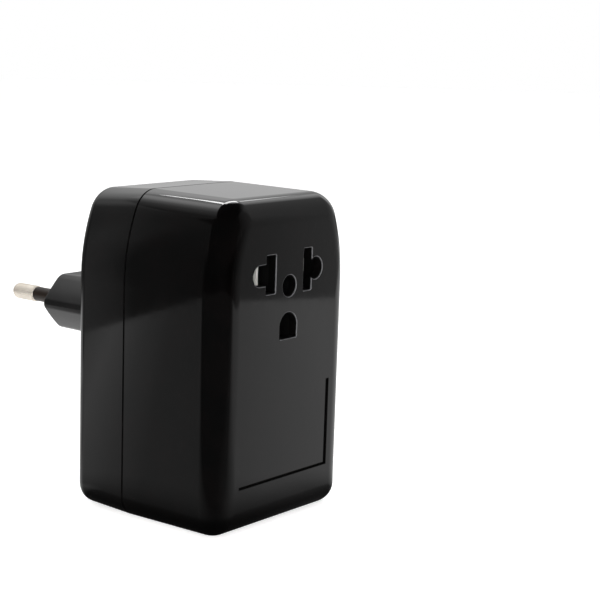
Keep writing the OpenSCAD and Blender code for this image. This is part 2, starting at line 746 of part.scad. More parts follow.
module back_shell() {
    color("#1a1a1b") {
        difference() {
            union() {
                difference() {
                    loft(concat(
                        [[seam_y, seam_chamfer, 0, 0], [seam_y + seam_chamfer, 0, 0, 0]],
                        back_rings(0)
                    ));
                    loft(concat([[seam_y - past, wall, 0, 0]], back_rings(wall)));
                }
                tongue();
                for (p = screw_places)
                    recess_boss(p);
                for (s = [-1, 1])
                    back_ribs(s);
            }
            for (p = screw_places) {
                rod_y(p, seam_y + screw_seat_t, back_depth, recess_r);
                rod_y(p, seam_y - past, back_depth, screw_r + 2 * screw_gap);
            }
            round_plate_y(flange_w + 2 * flange_gap, flange_h + 2 * flange_gap, flange_r + flange_gap,
                inner_back_y - past, wall + 2 * past, plug_z);
            selector_window();
        }
        for (p = lip_stakes)
            stake(p, lip_stake_r, lip_t);
        for (p = switch_stakes)
            stake(p, switch_stake_r, frame_t);
    }
}

// Boss around a screw recess, cut back where the core stands beside it
module recess_boss(p) {
    difference() {
        intersection() {
            rod_y(p, seam_y, back_depth, recess_r + recess_wall);
            loft(concat([[seam_y, wall / 2, 0, 0]], back_rings(wall / 2)));
        }
        box([-strap_half_x - rib_gap, seam_y - past, core_z],
            [strap_half_x + rib_gap, core_back_y + rib_gap, strap_top_z]);
    }
}

// Tongue that reaches into the front shell
module tongue() {
    outside = wall / 2 + tongue_gap;
    difference() {
        loft([[seam_y - tongue_h, outside, 0, 0], [seam_y + past, outside, 0, 0]]);
        loft([[seam_y - tongue_h - past, wall, 0, 0], [seam_y + 2 * past, wall, 0, 0]]);
    }
}

// Ribs of the back shell that hold the core from below and from behind
module back_ribs(s) {
    side_box(s, [floor_rib_x - rib_t / 2, seam_y, wall - least_r],
        [floor_rib_x + rib_t / 2, core_back_y, core_z]);
    side_box(s, [fin_x - rib_t / 2, core_back_y + rib_gap, fin_z],
        [fin_x + rib_t / 2, inner_back_y + least_r, fin_z + fin_h]);
}

// Window of the selector, chamfered on the outside
module selector_window() {
    wider = 4 * window_chamfer;
    translate([0, back_y, window_z]) {
        cube([window_w, 4 * wall, window_h], center = true);
        hull() {
            cube([window_w, 2 * window_chamfer, window_h], center = true);
            translate([0, window_chamfer, 0])
                cube([window_w + wider, least_r, window_h + wider], center = true);
        }
    }
}

module housing_screws() {
    color("#b9bbbd")
        for (p = screw_places)
            screw_y(p, seam_y + screw_seat_t, screw_r, screw_len, screw_head_r, screw_head_h);
}

// Plug

module plug_body() {
    color("#232324")
        difference() {
            union() {
                round_plate_y(flange_w, flange_h, flange_r, lip_y, back_y + flange_proud - lip_y, plug_z);
                round_plate_y(lip_w, flange_h + 2 * lip_end, lip_end, lip_y, lip_t, plug_z);
                plug_prism();
                for (s = [-1, 1])
                    along_pin(s)
                        collar();
            }
            for (s = [-1, 1])
                along_pin(s)
                    translate([0, 0, -pin_back - past])
                        cylinder(r = pin_core_r + pin_gap, h = pin_back + pin_len);
            for (p = lip_stakes)
                rod_y(p, lip_y - past, lip_t + 2 * past, lip_stake_r + stake_gap);
        }
}

// Six-sided plug with round corners, wider at its flange, with a rounded face
module plug_prism() {
    hull() {
        plug_layer(back_y, plug_draft);
        plug_layer(face_y - plug_edge_r, 0);
        plug_layer(face_y - plug_edge_r * (1 - sin(45)), -plug_edge_r * (1 - cos(45)));
        plug_layer(face_y - least_r, -plug_edge_r);
    }
}

// Thin layer of the plug at y, its corners grown by a given amount
module plug_layer(y, grow) {
    corner_z = plug_face_h / 2 - plug_corner_r;
    side_x = plug_face_w / 2 - plug_tip_r;
    corners = [for (s = [-1, 1]) each [
        [s * side_x, 0, plug_tip_r],
        [s * plug_flat / 2, corner_z, plug_corner_r],
        [s * plug_flat / 2, -corner_z, plug_corner_r]
    ]];
    for (c = corners)
        translate([c[0], y, plug_z + c[1]])
            rotate([-90, 0, 0])
                cylinder(r = c[2] + grow, h = least_r, $fn = hull_fn);
}

// Stepped collar around a pin
module collar() {
    for (i = [0:collar_steps - 1])
        translate([0, 0, -plug_edge_r])
            cylinder(r = collar_r - i * collar_fall, h = plug_edge_r + collar_h * (i + 1));
}

// Pin on one side: a domed tip, a thinner core, a shoulder behind the plug and a tail with its lug
module plug_pin(s) {
    color("#cfc9bf") {
        along_pin(s) {
            rotate_extrude()
                pin_profile();
            translate([0, 0, -stop_back - shoulder_stop_t])
                cylinder(r = shoulder_stop_r, h = shoulder_stop_t);
            translate([0, 0, -stop_back - shoulder_stop_t - pin_tail_len])
                cylinder(r = pin_core_r, h = pin_tail_len + least_r);
        }
        box([s * lug_x - lug_w / 2, lug_y - lug_len, plug_z - lug_t / 2],
            [s * lug_x + lug_w / 2, lug_y + past, plug_z + lug_t / 2]);
    }
}

// Half section of a pin along its axis, from the back of the plug to the tip
module pin_profile() {
    translate([0, -stop_back])
        square([pin_core_r, stop_back + pin_len - tip_len + least_r]);
    translate([0, pin_len - tip_len])
        square([pin_r, tip_len - tip_edge_r]);
    translate([0, pin_len - tip_len])
        square([pin_r - tip_edge_r, tip_len]);
    translate([pin_r - tip_edge_r, pin_len - tip_edge_r])
        intersection() {
            circle(tip_edge_r);
            square(tip_edge_r);
        }
}

module plug_pin_live() {
    plug_pin(1);
}

module plug_pin_neutral() {
    plug_pin(-1);
}

// Sleeve on one pin, between its collar and its bare tip
module pin_sleeve(s) {
    start = collar_h * collar_steps;
    color("#1d1613")
        along_pin(s)
            translate([0, 0, start])
                difference() {
                    cylinder(r = sleeve_r, h = pin_len - tip_len - start);
                    translate([0, 0, -past])
                        cylinder(r = pin_core_r + pin_gap, h = pin_len);
                }
}

module pin_sleeve_live() {
    pin_sleeve(1);
}

module pin_sleeve_neutral() {
    pin_sleeve(-1);
}

// Socket

module contact_carrier() {
    color("#2a2a2c")
        difference() {
            union() {
                box([-carrier_half_w, inner_front_y, carrier_low_z],
                    [carrier_half_w, carrier_back_y, carrier_high_z]);
                for (p = ear_places)
                    box([p[0] - ear_w / 2, ear_y, carrier_high_z - past],
                        [p[0] + ear_w / 2, carrier_back_y, p[1] + ear_post_r]);
            }
            for (s = [-1, 1]) {
                side_box(s, [pocket_inner_x, inner_front_y - past, socket_z - pocket_h / 2],
                    [pocket_outer_x, pocket_floor_y, socket_z + pocket_h / 2]);
                contact_tail(s, tail_gap, past);
            }
            earth_wells(inner_front_y - past, pocket_floor_y, well_gap);
            for (p = ear_places)
                rod_y(p, ear_y - past, ear_t + 2 * past, ear_screw_r + 2 * screw_gap);
        }
}

// Tail of a contact, or its slot when grown by a gap and lengthened
module contact_tail(s, gap, more) {
    half_w = tail_w / 2 + gap;
    half_h = lead_r + gap;
    side_box(s, [contact_tail_x - half_w, pocket_floor_y - strip_t - more, socket_z - half_h],
        [contact_tail_x + half_w, carrier_back_y + tail_len + more, socket_z + half_h]);
}

// Spring contact on one side: three leaves on one base, with a tail through the carrier
module socket_contact(s) {
    color("#d8d4c8") {
        side_box(s, [inner_leaf_x, pocket_floor_y - strip_t, socket_z - leaf_h / 2],
            [outer_leaf_x + strip_t, pocket_floor_y, socket_z + leaf_h / 2]);
        contact_leaf(s, inner_leaf_x, side_leaf_start, leaf_h);
        contact_leaf(s, middle_leaf_x, middle_leaf_start, leaf_h);
        contact_leaf(s, outer_leaf_x, side_leaf_start, outer_leaf_h);
        contact_tail(s, 0, 0);
    }
}

module contact_leaf(s, x, start, h) {
    side_box(s, [x, front_y + start, socket_z - h / 2], [x + strip_t, pocket_floor_y, socket_z + h / 2]);
}

module live_contact() {
    socket_contact(1);
}

module neutral_contact() {
    socket_contact(-1);
}

module carrier_screws() {
    color("#b9bbbd")
        for (p = ear_places)
            screw_y(p, carrier_back_y, ear_screw_r, ear_screw_len, ear_head_r, ear_head_h);
}

// Transformer

// Stack of E laminations, its three legs pointing to the right
module core_e_stack() {
    color("#6f7276")
        difference() {
            box([-core_half_x, core_front_y, core_z], [window_half, core_back_y, core_z + core_h]);
            for (z = [leg, 4 * leg])
                box([-window_half, core_front_y - past, core_z + z],
                    [core_half_x, core_back_y + past, core_z + z + leg]);
        }
}

// Stack of I laminations that closes the legs
module core_i_stack() {
    color("#74777b")
        box([window_half, core_front_y, core_z], [core_half_x, core_back_y, core_z + core_h]);
}

// Band over the top and sides of the core, hooked under it
module core_strap() {
    color("#a9abac")
        difference() {
            box([-strap_half_x, core_front_y, core_z - strap_t], [strap_half_x, core_back_y, strap_top_z]);
            box([-core_half_x, core_front_y - past, core_z],
                [core_half_x, core_back_y + past, core_z + core_h]);
            box([strap_hook - core_half_x, core_front_y - past, core_z - strap_t - past],
                [core_half_x - strap_hook, core_back_y + past, core_z + past]);
        }
}

// Ring around the core's middle leg, from one X to another, between two half sizes in Y and Z
module leg_ring(from_x, to_x, inner, outer, r) {
    translate([from_x, core_y, core_mid_z])
        rotate([90, 0, 90])
            linear_extrude(to_x - from_x)
                difference() {
                    round_square(2 * outer[0], 2 * outer[1], r);
                    square(2 * inner, center = true);
                }
}

module coil_former() {
    bore = [core_stack / 2 + former_gap, leg + former_gap];
    rim = [rim_half_y, rim_half_z];
    color("#e4e0d2") {
        leg_ring(-former_half, former_half, bore, [tube_half_y, tube_half_z], former_t / 2);
        for (x = [-former_half, -former_t / 2, former_half - former_t])
            leg_ring(x, x + former_t, bore, rim, former_t);
        for (s = [-1, 1])
            terminal_block(s);
    }
}

// Block at the back of one end of the former, drilled for its pins
module terminal_block(s) {
    difference() {
        side_box(s, [former_half - former_t, block_back_y, block_z],
            [former_half + block_w, block_back_y + block_d, block_z + block_h]);
        for (y = former_pin_y)
            translate([s * block_x, y, former_pin_z - coil_gap])
                cylinder(r = former_pin_r + coil_gap, h = former_pin_in + past);
        side_box(s, [0, core_y, block_z - past],
            [former_half - former_t / 2, block_back_y + block_d + past, block_z + block_h + past]);
    }
}

// Winding in one chamber of the former
module winding(from_x, to_x) {
    leg_ring(from_x + coil_gap, to_x - coil_gap, [tube_half_y + coil_gap, tube_half_z + coil_gap],
        [coil_half_y, coil_half_z], coil_r);
}

module input_winding() {
    color("#b4713a")
        winding(former_t - former_half, -former_t / 2);
}

module output_winding() {
    color("#b4713a")
        winding(former_t / 2, former_half - former_t);
}

// Tape around each winding
module winding_tape() {
    chamber_w = former_half - 1.5 * former_t;
    color("#d9b63c")
        for (x = [former_t - former_half, former_t / 2])
            translate([x + coil_gap, core_y, core_mid_z])
                rotate([90, 0, 90])
                    linear_extrude(chamber_w - 2 * coil_gap)
                        difference() {
                            coil_outline(tape_t);
                            coil_outline(0);
                        }
}

// Outline of a winding, grown by a given amount
module coil_outline(grow) {
    round_square(2 * (coil_half_y + grow), 2 * (coil_half_z + grow), coil_r + grow);
}

module former_pins() {
    color("#d8d4c8")
        for (s = [-1, 1], y = former_pin_y)
            translate([s * block_x, y, former_pin_z])
                cylinder(r = former_pin_r, h = former_pin_len);
}

// Thermal fuse that lies on the strap, with a wire end on either side
module thermal_fuse() {
    color("#c9c4b4")
        translate([0, fuse_y, fuse_z])
            rotate([0, 90, 0]) {
                cylinder(r = fuse_r, h = fuse_len, center = true);
                cylinder(r = fuse_wire_r, h = 2 * fuse_end_x, center = true);
            }
}

// Selector switch

module switch_frame() {
    plate_half = frame_ear_x + frame_ear_end;
    opening = [knob_w + travel + 2 * slider_gap, knob_h + 2 * slider_gap];
    color("#b3b5b7")
        difference() {
            union() {
                switch_plate(2 * plate_half, plate_y, inner_back_y);
                switch_plate(frame_w, base_y, inner_back_y);
            }
            box([frame_t - frame_w / 2, base_y - past, window_z + frame_t - frame_h / 2],
                [frame_w / 2 - frame_t, plate_y, window_z + frame_h / 2 - frame_t]);
            translate([0, inner_back_y, window_z])
                cube([opening[0], 4 * frame_t, opening[1]], center = true);
            for (p = switch_stakes)
                rod_y(p, plate_y - past, frame_t + 2 * past, switch_stake_r + stake_gap);
        }
}

// Plate as high as the switch frame, from one Y to another
module switch_plate(w, from_y, to_y) {
    box([-w / 2, from_y, window_z - frame_h / 2], [w / 2, to_y, window_z + frame_h / 2]);
}

// Places of the six terminals, as X and Z
function terminal_places() =
    [for (i = [-1:1], j = [-1, 1]) [i * terminal_pitch, window_z + j * terminal_rows / 2]];

module switch_base() {
    slit = [terminal_t + 2 * bridge_gap, 4 * base_t, terminal_w + 2 * bridge_gap];
    color("#7a5a34")
        difference() {
            switch_plate(frame_w, base_y - base_t, base_y);
            for (p = terminal_places())
                translate([p[0], base_y, p[1]])
                    cube(slit, center = true);
        }
}

module switch_terminals() {
    color("#d8d4c8")
        for (p = terminal_places()) {
            box([p[0] - terminal_t / 2, terminal_end_y, p[1] - terminal_w / 2],
                [p[0] + terminal_t / 2, base_y + least_r, p[1] + terminal_w / 2]);
            rod_y(p, base_y, rivet_h, rivet_r);
        }
}

// Sliding block with the knob that shows in the window, at its rest end
module switch_slider() {
    face = back_y - knob_sunk;
    top = knob_h / 2;
    side = knob_w / 2;
    mid_rib_x = side - knob_wide_rib - knob_groove;
    ribs = [
        [side - knob_wide_rib, side], [mid_rib_x - knob_mid_rib, mid_rib_x],
        [-side, knob_narrow_rib - side]
    ];
    stem_depth = bridge_stem_in + bridge_gap;
    stem_hole = [bridge_stem_w + 2 * bridge_gap, 2 * stem_depth, bridge_h + 2 * bridge_gap];
    color("#3a3a3b")
        translate([knob_rest_x, 0, window_z])
            difference() {
                union() {
                    box([-slider_w / 2, block_y, -slider_h / 2], [slider_w / 2, slider_y, slider_h / 2]);
                    box([-side, slider_y - least_r, -top], [side, face - knob_rib_h, top]);
                    for (r = ribs)
                        box([r[0], slider_y, -top], [r[1], face, top]);
                }
                for (j = [-1, 1])
                    translate([0, block_y, j * terminal_rows / 2])
                        cube(stem_hole, center = true);
            }
}

// Two bridge contacts that the block carries over the terminals
module switch_contacts() {
    color("#c98a4b")
        for (j = [-1, 1])
            translate([knob_rest_x, 0, window_z + j * terminal_rows / 2]) {
                box([-bridge_w / 2, bridge_y, -bridge_h / 2],
                    [bridge_w / 2, bridge_y + terminal_t, bridge_h / 2]);
                box([-bridge_stem_w / 2, bridge_y, -bridge_h / 2],
                    [bridge_stem_w / 2, block_y + bridge_stem_in, bridge_h / 2]);
            }
}

// Leads

// Point between p1 and p2 on the smooth curve through four route points
function smooth(p0, p1, p2, p3, t) =
    p1 + (p2 - p0) / 2 * t
    + (p0 - 2.5 * p1 + 2 * p2 - p3 / 2) * t ^ 2
    + (1.5 * (p1 - p2) + (p3 - p0) / 2) * t ^ 3;

// Smooth path through a route, with one more point between its neighbours
function path(points) =
    let (last = len(points) - 1)
    concat(
        [for (i = [0:last - 1], t = [0, 0.5])
            smooth(points[max(i - 1, 0)], points[i], points[i + 1], points[min(i + 2, last)], t)],
        [points[last]]
    );

function unit(v) = v / norm(v);

// Directions along a path, which leave both ends squarely
function directions(p, ends) =
    let (last = len(p) - 1, end = len(ends) - 1)
    [for (i = [0:last])
        i == 0 ? unit(ends[1] - ends[0])
        : i == last ? unit(ends[end] - ends[end - 1])
        : unit(p[i + 1] - p[i - 1])];

// Side directions carried along a path without twist
function carried(d, i = 0) =
    let (first = abs(d[0][2]) > 0.9 ? [1, 0, 0] : [0, 0, 1])
    i == 0 ? [unit(cross(d[0], first))]
    : let (before = carried(d, i - 1), u = before[i - 1])
      concat(before, [unit(u - d[i] * (u * d[i]))]);

// Round lead of eight sides along a route
module lead(way, shade) {
    sides = 8;
    p = path(way);
    d = directions(p, way);
    last = len(p) - 1;
    u = carried(d, last);
    points = [for (k = [0:last], j = [0:sides - 1])
        p[k] + lead_r * (u[k] * cos(360 * j / sides) + cross(d[k], u[k]) * sin(360 * j / sides))];
    walls = [for (k = [0:last - 1], j = [0:sides - 1])
        let (a = k * sides + j, b = k * sides + (j + 1) % sides)
        each [[a, b + sides, b], [a, a + sides, b + sides]]];
    start_cap = [for (j = [0:sides - 1]) j];
    end_cap = [for (j = [sides - 1:-1:0]) last * sides + j];
    color(shade)
        polyhedron(points = points, faces = concat(walls, [start_cap, end_cap]));
}

module live_in_lead() {
    lead(live_in_route, "#7a4526");
}

module neutral_in_lead() {
    lead(neutral_in_route, "#2f5f9e");
}

module switch_feed_lead() {
    lead(switch_feed_route, "#7a4526");
}

module tap_low_lead() {
    lead(tap_low_route, "#b03028");
}

module tap_high_lead() {
    lead(tap_high_route, "#d0a52e");
}

module live_out_lead() {
    lead(live_out_route, "#2b2b2c");
}

module neutral_out_lead() {
    lead(neutral_out_route, "#d9d7d0");
}

front_shell();
back_shell();
plug_body();
plug_pin_live();
plug_pin_neutral();
pin_sleeve_live();
pin_sleeve_neutral();
housing_screws();
contact_carrier();
carrier_screws();
live_contact();
neutral_contact();
core_e_stack();
core_i_stack();
core_strap();
coil_former();
input_winding();
output_winding();
winding_tape();
former_pins();
thermal_fuse();
switch_frame();
switch_base();
switch_terminals();
switch_slider();
switch_contacts();
live_in_lead();
neutral_in_lead();
switch_feed_lead();
tap_low_lead();
tap_high_lead();
live_out_lead();
neutral_out_lead();
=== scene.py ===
"""Looks of the travel voltage converter: smooth outer pieces, finishes, camera and studio."""

import json
import math

import bmesh
import bpy
from mathutils import Matrix, Vector

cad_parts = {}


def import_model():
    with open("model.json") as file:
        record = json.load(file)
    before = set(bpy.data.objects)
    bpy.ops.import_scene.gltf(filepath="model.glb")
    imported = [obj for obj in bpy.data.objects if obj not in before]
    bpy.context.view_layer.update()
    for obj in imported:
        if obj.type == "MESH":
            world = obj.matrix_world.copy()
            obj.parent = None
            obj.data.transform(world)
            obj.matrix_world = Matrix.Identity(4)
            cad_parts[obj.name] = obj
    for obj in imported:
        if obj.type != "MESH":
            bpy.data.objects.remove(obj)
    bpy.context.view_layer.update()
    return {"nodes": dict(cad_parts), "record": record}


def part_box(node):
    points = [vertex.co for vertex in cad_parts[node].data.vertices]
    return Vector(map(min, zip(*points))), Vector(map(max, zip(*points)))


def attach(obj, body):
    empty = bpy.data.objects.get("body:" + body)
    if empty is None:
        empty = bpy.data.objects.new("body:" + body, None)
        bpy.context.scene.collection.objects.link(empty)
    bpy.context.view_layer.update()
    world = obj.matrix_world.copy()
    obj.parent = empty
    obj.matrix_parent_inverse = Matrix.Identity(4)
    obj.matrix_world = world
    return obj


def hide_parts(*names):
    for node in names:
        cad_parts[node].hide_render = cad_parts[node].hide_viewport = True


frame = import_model()

# Sizes in millimetres, taken from the frame where it gives them

MM = 0.001


def box_mm(node):
    low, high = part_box(node)
    return low / MM, high / MM


front_low, front_high = box_mm("front_shell")
back_high = box_mm("back_shell")[1]
plug_low, plug_high = box_mm("plug_body")
slider_low, slider_high = box_mm("switch_slider")
bridge_low, bridge_high = box_mm("switch_contacts")
carrier_high = box_mm("contact_carrier")[1]
ear_screw_low, ear_screw_high = box_mm("carrier_screws")
core_low, core_high = box_mm("core_e_stack")
strap_high = box_mm("core_strap")[1]
former_high = box_mm("coil_former")[1]

HALF_W = front_high.x
BODY_H = front_high.z
FRONT_Y = front_low.y
SEAM_Y = front_high.y
BACK_Y = back_high.y
PLUG_Z = (plug_low.z + plug_high.z) / 2
WINDOW_Z = (slider_low.z + slider_high.z) / 2
SLIDER_X = (slider_low.x + slider_high.x) / 2

# Housing
WALL = 2.2
FOOT_R = 5.3
SHOULDER_R = 43
SHOULDER_Z = BODY_H - 21.5
TOP_R = 6.9
FRONT_EDGE_R = 6
BACK_EDGE_R = 3
FRONT_DRAFT = 0.5
BACK_DRAFT = 0.75
SEAM_CHAMFER = 0.25
TONGUE_H = 1.5
TONGUE_GAP = 0.1
ARC_STEPS = 14
EDGE_STEPS = 14

# Least radius of an edge, how far joined solids run into each other and how far a cut runs past a face
LEAST_R = 0.05
OVERLAP = 0.05
PAST = 1

# Screws
TOP_SCREW_INSET = 9.05
TOP_SCREW_DROP = 7.25
FOOT_SCREW_INSET = 5.05
FOOT_SCREW_Z = 7.3
SCREW_PLACES = [
    (side * (HALF_W - inset), z)
    for side in (-1, 1)
    for inset, z in ((TOP_SCREW_INSET, BODY_H - TOP_SCREW_DROP), (FOOT_SCREW_INSET, FOOT_SCREW_Z))
]
RECESS_R = 2.4
RECESS_WALL = 1
SCREW_SEAT_T = 2
SCREW_HOLE_R = 1.4

# Socket face
SOCKET_Z = BODY_H - 17.4
SLOT_X = 5.1
LEFT_SLOT_W = 3.6
LEFT_SLOT_H = 8.8
RIGHT_SLOT_W = 3.1
RIGHT_SLOT_H = 9.8
LEFT_ROUND_R = 2.4
LEFT_ROUND_X = 10.8
RIGHT_ROUND_R = 2.6
RIGHT_ROUND_X = 9.7
EARTH_R = 2.5
EARTH_Z = SOCKET_Z - 3.2
GROUND_W = 6.4
GROUND_H = 6.1
GROUND_Z = SOCKET_Z - 12.3
HOLE_RIM = 0.22
HOLE_CORNER = 0.3
LEFT_ROUND_STEPS = 24
RIGHT_ROUND_STEPS = 32
ARCH_STEPS = 28

# Groove of the socket face
GROOVE_X = 16.4
GROOVE_Z = 11.1
GROOVE_H = 21
GROOVE_BAR_W = 1.1
GROOVE_FOOT_W = 0.6
GROOVE_DEPTH = 0.5
GROOVE_RIM = 0.1

# Plug
FLANGE_W = plug_high.x - plug_low.x
FLANGE_H = 20
FLANGE_R = 6
FLANGE_PROUD = 0.3
FLANGE_GAP = 0.15
FLANGE_EDGE_R = 0.35
FLANGE_STEPS = 14
LIP_Y = plug_low.y
LIP_T = 1.8
LIP_W = 36
LIP_H = plug_high.z - plug_low.z
LIP_END = 2.7
PLUG_LEN = 17
PLUG_FACE_W = 35.9
PLUG_FACE_H = 13.4
PLUG_FLAT = 22
PLUG_CORNER_R = 3.5
PLUG_TIP_R = 2
PLUG_EDGE_R = 0.8
PLUG_DRAFT = 0.3
PLUG_BULGE = 0.1
PLUG_CORNER_STEPS = 8
PLUG_TIP_STEPS = 16
FACE_Y = BACK_Y + PLUG_LEN

# Pins
PIN_PITCH = 18.4
PIN_TIP_PITCH = 17.6
PIN_LEN = 19
TIP_LEN = 8
TIP_RIM = 0.25
PIN_R = 2
TIP_EDGE_R = 1.7
TIP_STEPS = 12
PIN_CORE_R = 1.45
PIN_GAP = 0.05
SLEEVE_R = 1.8
SLEEVE_EDGE_R = 0.15
COLLAR_R = 2.9
COLLAR_FALL = 0.33
COLLAR_H = 0.9
COLLAR_STEPS = 3
COLLAR_EDGE_R = 0.15
PIN_LEAN = math.asin((PIN_PITCH - PIN_TIP_PITCH) / 2 / PIN_LEN)
STOP_R = 2.6
STOP_T = 1.2
STOP_Y = LIP_Y - STOP_R * math.tan(PIN_LEAN) - PIN_GAP
TAIL_LEN = 3
LUG_W = 2.8
LUG_T = 1.6
LUG_LEN = 3.2
LUG_Y = STOP_Y - STOP_T - TAIL_LEN
LUG_X = PIN_PITCH / 2 + (FACE_Y - LUG_Y) * math.tan(PIN_LEAN)

# Posts, ribs and stakes inside the shells
POST_FOOT_Y = FRONT_Y + WALL - OVERLAP
POST_R = 2.7
SCREW_LEN = 12
POST_HOLE_R = 1.35
EAR_T = 2
EAR_Y = carrier_high.y - EAR_T
EAR_X = 6.5
EAR_PLACES = [(side * EAR_X, (ear_screw_low.z + ear_screw_high.z) / 2) for side in (-1, 1)]
EAR_POST_R = 2.3
EAR_SCREW_LEN = 8
EAR_HOLE_R = 1.05
RIB_T = 1.5
RIB_GAP = 0.15
RIB_END_GAP = 1
RIB_END_Y = SEAM_Y - TONGUE_H - RIB_END_GAP
FLOOR_RIB_X = 6
SIDE_RIB_HEIGHTS = (16, 30)
FIN_X = (former_high.x + core_high.x) / 2
FIN_Z = 6
FIN_H = 20
LIP_STAKE_X = 14
LIP_STAKES = [
    (side * LIP_STAKE_X, PLUG_Z + end * (FLANGE_H + LIP_END) / 2)
    for side in (-1, 1)
    for end in (-1, 1)
]
LIP_STAKE_R = 1.1
SWITCH_STAKE_X = 9.3
SWITCH_STAKES = [(side * SWITCH_STAKE_X, WINDOW_Z) for side in (-1, 1)]
SWITCH_STAKE_R = 0.8
SWITCH_PLATE_T = 0.5
STAKE_GAP = 0.1
STAKE_HEAD_T = 0.8
STAKE_HEAD_OVER = 0.7

# Selector
WINDOW_W = 9.2
WINDOW_H = 4.6
WINDOW_CORNER = 0.7
WINDOW_RIM = 0.4
KNOB_W = 4.85
KNOB_H = 3.3
KNOB_RIB_H = 0.4
KNOB_WIDE_RIB = 0.9
KNOB_GROOVE = 0.5
KNOB_MID_RIB = 0.7
KNOB_NARROW_RIB = 0.4
KNOB_EDGE_R = 0.1
KNOB_EDGE_STEPS = 4
SLIDER_T = 2.4
SLIDER_EDGE_R = 0.2
STEM_HOLE_W = 2.2
STEM_HOLE_H = 1.2
BRIDGE_H = 1
MARK_H = 2.5
MARK_T = 0.12
MARK_BEVEL = 0.05
MARK_X = 10.2
CAP_SHARE = 0.7
MARK_PALE = 0.3


# Outlines: lists of (x, z) that run counter-clockwise as seen from the front

def arc(x, z, r, start, end, steps):
    angles = [math.radians(start + (end - start) * i / steps) for i in range(steps + 1)]
    return [(x + r * math.cos(angle), z + r * math.sin(angle)) for angle in angles]


def housing_outline(inset, lift, drop):
    corner_r = max(FOOT_R - inset, LEAST_R)
    side_r = SHOULDER_R - inset
    crown_r = max(TOP_R - inset, LEAST_R)
    side_x = HALF_W - SHOULDER_R
    crown_z = BODY_H - drop - inset - crown_r
    crown_x = side_x + math.sqrt((side_r - crown_r) ** 2 - (crown_z - SHOULDER_Z) ** 2)
    lean = math.degrees(math.atan2(crown_z - SHOULDER_Z, crown_x - side_x))
    foot = arc(HALF_W - inset - corner_r, lift + inset + corner_r, corner_r, -90, 0, ARC_STEPS)
    side = arc(side_x, SHOULDER_Z, side_r, 0, lean, ARC_STEPS)[:-1]
    crown = arc(crown_x, crown_z, crown_r, lean, 90, ARC_STEPS)
    half = foot + side + crown
    return half + [(-x, z) for x, z in reversed(half)]


def rounded(corners, steps=6):
    """Polygon through corners given as (x, z, r), each rounded by its r."""
    points = []
    count = len(corners)
    for i, (x, z, r) in enumerate(corners):
        here = Vector((x, z))
        before = (Vector(corners[i - 1][:2]) - here).normalized()
        after = (Vector(corners[(i + 1) % count][:2]) - here).normalized()
        if r == 0:
            points.append((x, z))
            continue
        half = before.angle(after) / 2
        centre = here + (before + after).normalized() * (r / math.sin(half))
        first = here + before * (r / math.tan(half)) - centre
        turn = first.angle_signed(here + after * (r / math.tan(half)) - centre)
        for k in range(steps + 1):
            spoke = first.copy()
            spoke.rotate(Matrix.Rotation(-turn * k / steps, 2))
            points.append(tuple(centre + spoke))
    return points


def rectangle(w, h, r, x=0, z=0, steps=6):
    return rounded([
        (x - w / 2, z - h / 2, r), (x + w / 2, z - h / 2, r),
        (x + w / 2, z + h / 2, r), (x - w / 2, z + h / 2, r),
    ], steps)


def circle(r, x=0, z=0, steps=48):
    return arc(x, z, r, 0, 360, steps)[:-1]


def growing(outline):
    """Function that gives an outline moved outwards by a distance."""
    return lambda grow: grown(outline, grow)


def grown(outline, grow):
    """Outline moved outwards by grow, with its corners mitred."""
    points = []
    count = len(outline)
    for i in range(count):
        here = Vector(outline[i])
        before = here - Vector(outline[i - 1])
        after = Vector(outline[(i + 1) % count]) - here
        before = Vector((before.y, -before.x)).normalized()
        after = Vector((after.y, -after.x)).normalized()
        points.append(tuple(here + (before + after) * (grow / (1 + before.dot(after)))))
    return points


# Solids, built in millimetres and scaled to metres when they are finished

def placed(name, data):
    """New object in the scene for a mesh, curve, camera or light."""
    thing = bpy.data.objects.new(name, data)
    bpy.context.scene.collection.objects.link(thing)
    return thing


def final_mesh(thing):
    """Mesh of an object with its modifiers or its curve worked out."""
    graph = bpy.context.evaluated_depsgraph_get()
    return bpy.data.meshes.new_from_object(thing.evaluated_get(graph))


def across(outline, y):
    return [(x, y, z) for x, z in outline]


def loft(name, rings):
    """Closed solid through rings of equal length, with a flat face at each end."""
    mesh = bpy.data.meshes.new(name)
    count = len(rings[0])
    points = [p for ring in rings for p in ring]
    faces = []
    for k in range(len(rings) - 1):
        for i in range(count):
            here = k * count + i
            beside = k * count + (i + 1) % count
            faces.append((here, beside, beside + count, here + count))
    faces.append(tuple(range(count - 1, -1, -1)))
    faces.append(tuple(range(len(points) - count, len(points))))
    mesh.from_pydata(points, [], faces)
    shape = bmesh.new()
    shape.from_mesh(mesh)
    bmesh.ops.recalc_face_normals(shape, faces=shape.faces)
    shape.to_mesh(mesh)
    shape.free()
    return placed(name, mesh)


def prism(name, outline, start, end, edge_r=0.0, draft=0.0, steps=6):
    """Outline drawn along Y from start to end, with a rounded edge at its end and a wider start."""
    side = 1 if end > start else -1
    rings = [across(grown(outline, draft), start)]
    if edge_r == 0:
        return loft(name, rings + [across(outline, end)])
    for i in range(steps + 1):
        angle = math.pi / 2 * i / steps
        y = end - side * edge_r * (1 - math.sin(angle))
        rings.append(across(grown(outline, -edge_r * (1 - math.cos(angle))), y))
    return loft(name, rings)


def bar(name, x, y, z):
    """Straight block between a pair of values along each axis."""
    corners = [(x[0], z[0]), (x[1], z[0]), (x[1], z[1]), (x[0], z[1])]
    return loft(name, [across(corners, y[0]), across(corners, y[1])])


def side_bar(name, side, x, y, z):
    """Block on one side of the middle, by its distances from it."""
    return bar(name, sorted(side * distance for distance in x), y, z)


def about(middle, width):
    """Pair of values that lie half a width on either side of a middle."""
    return middle - width / 2, middle + width / 2


def rod(name, place, r, start, end, steps=32):
    return loft(name, [across(circle(r, *place, steps=steps), y) for y in (start, end)])


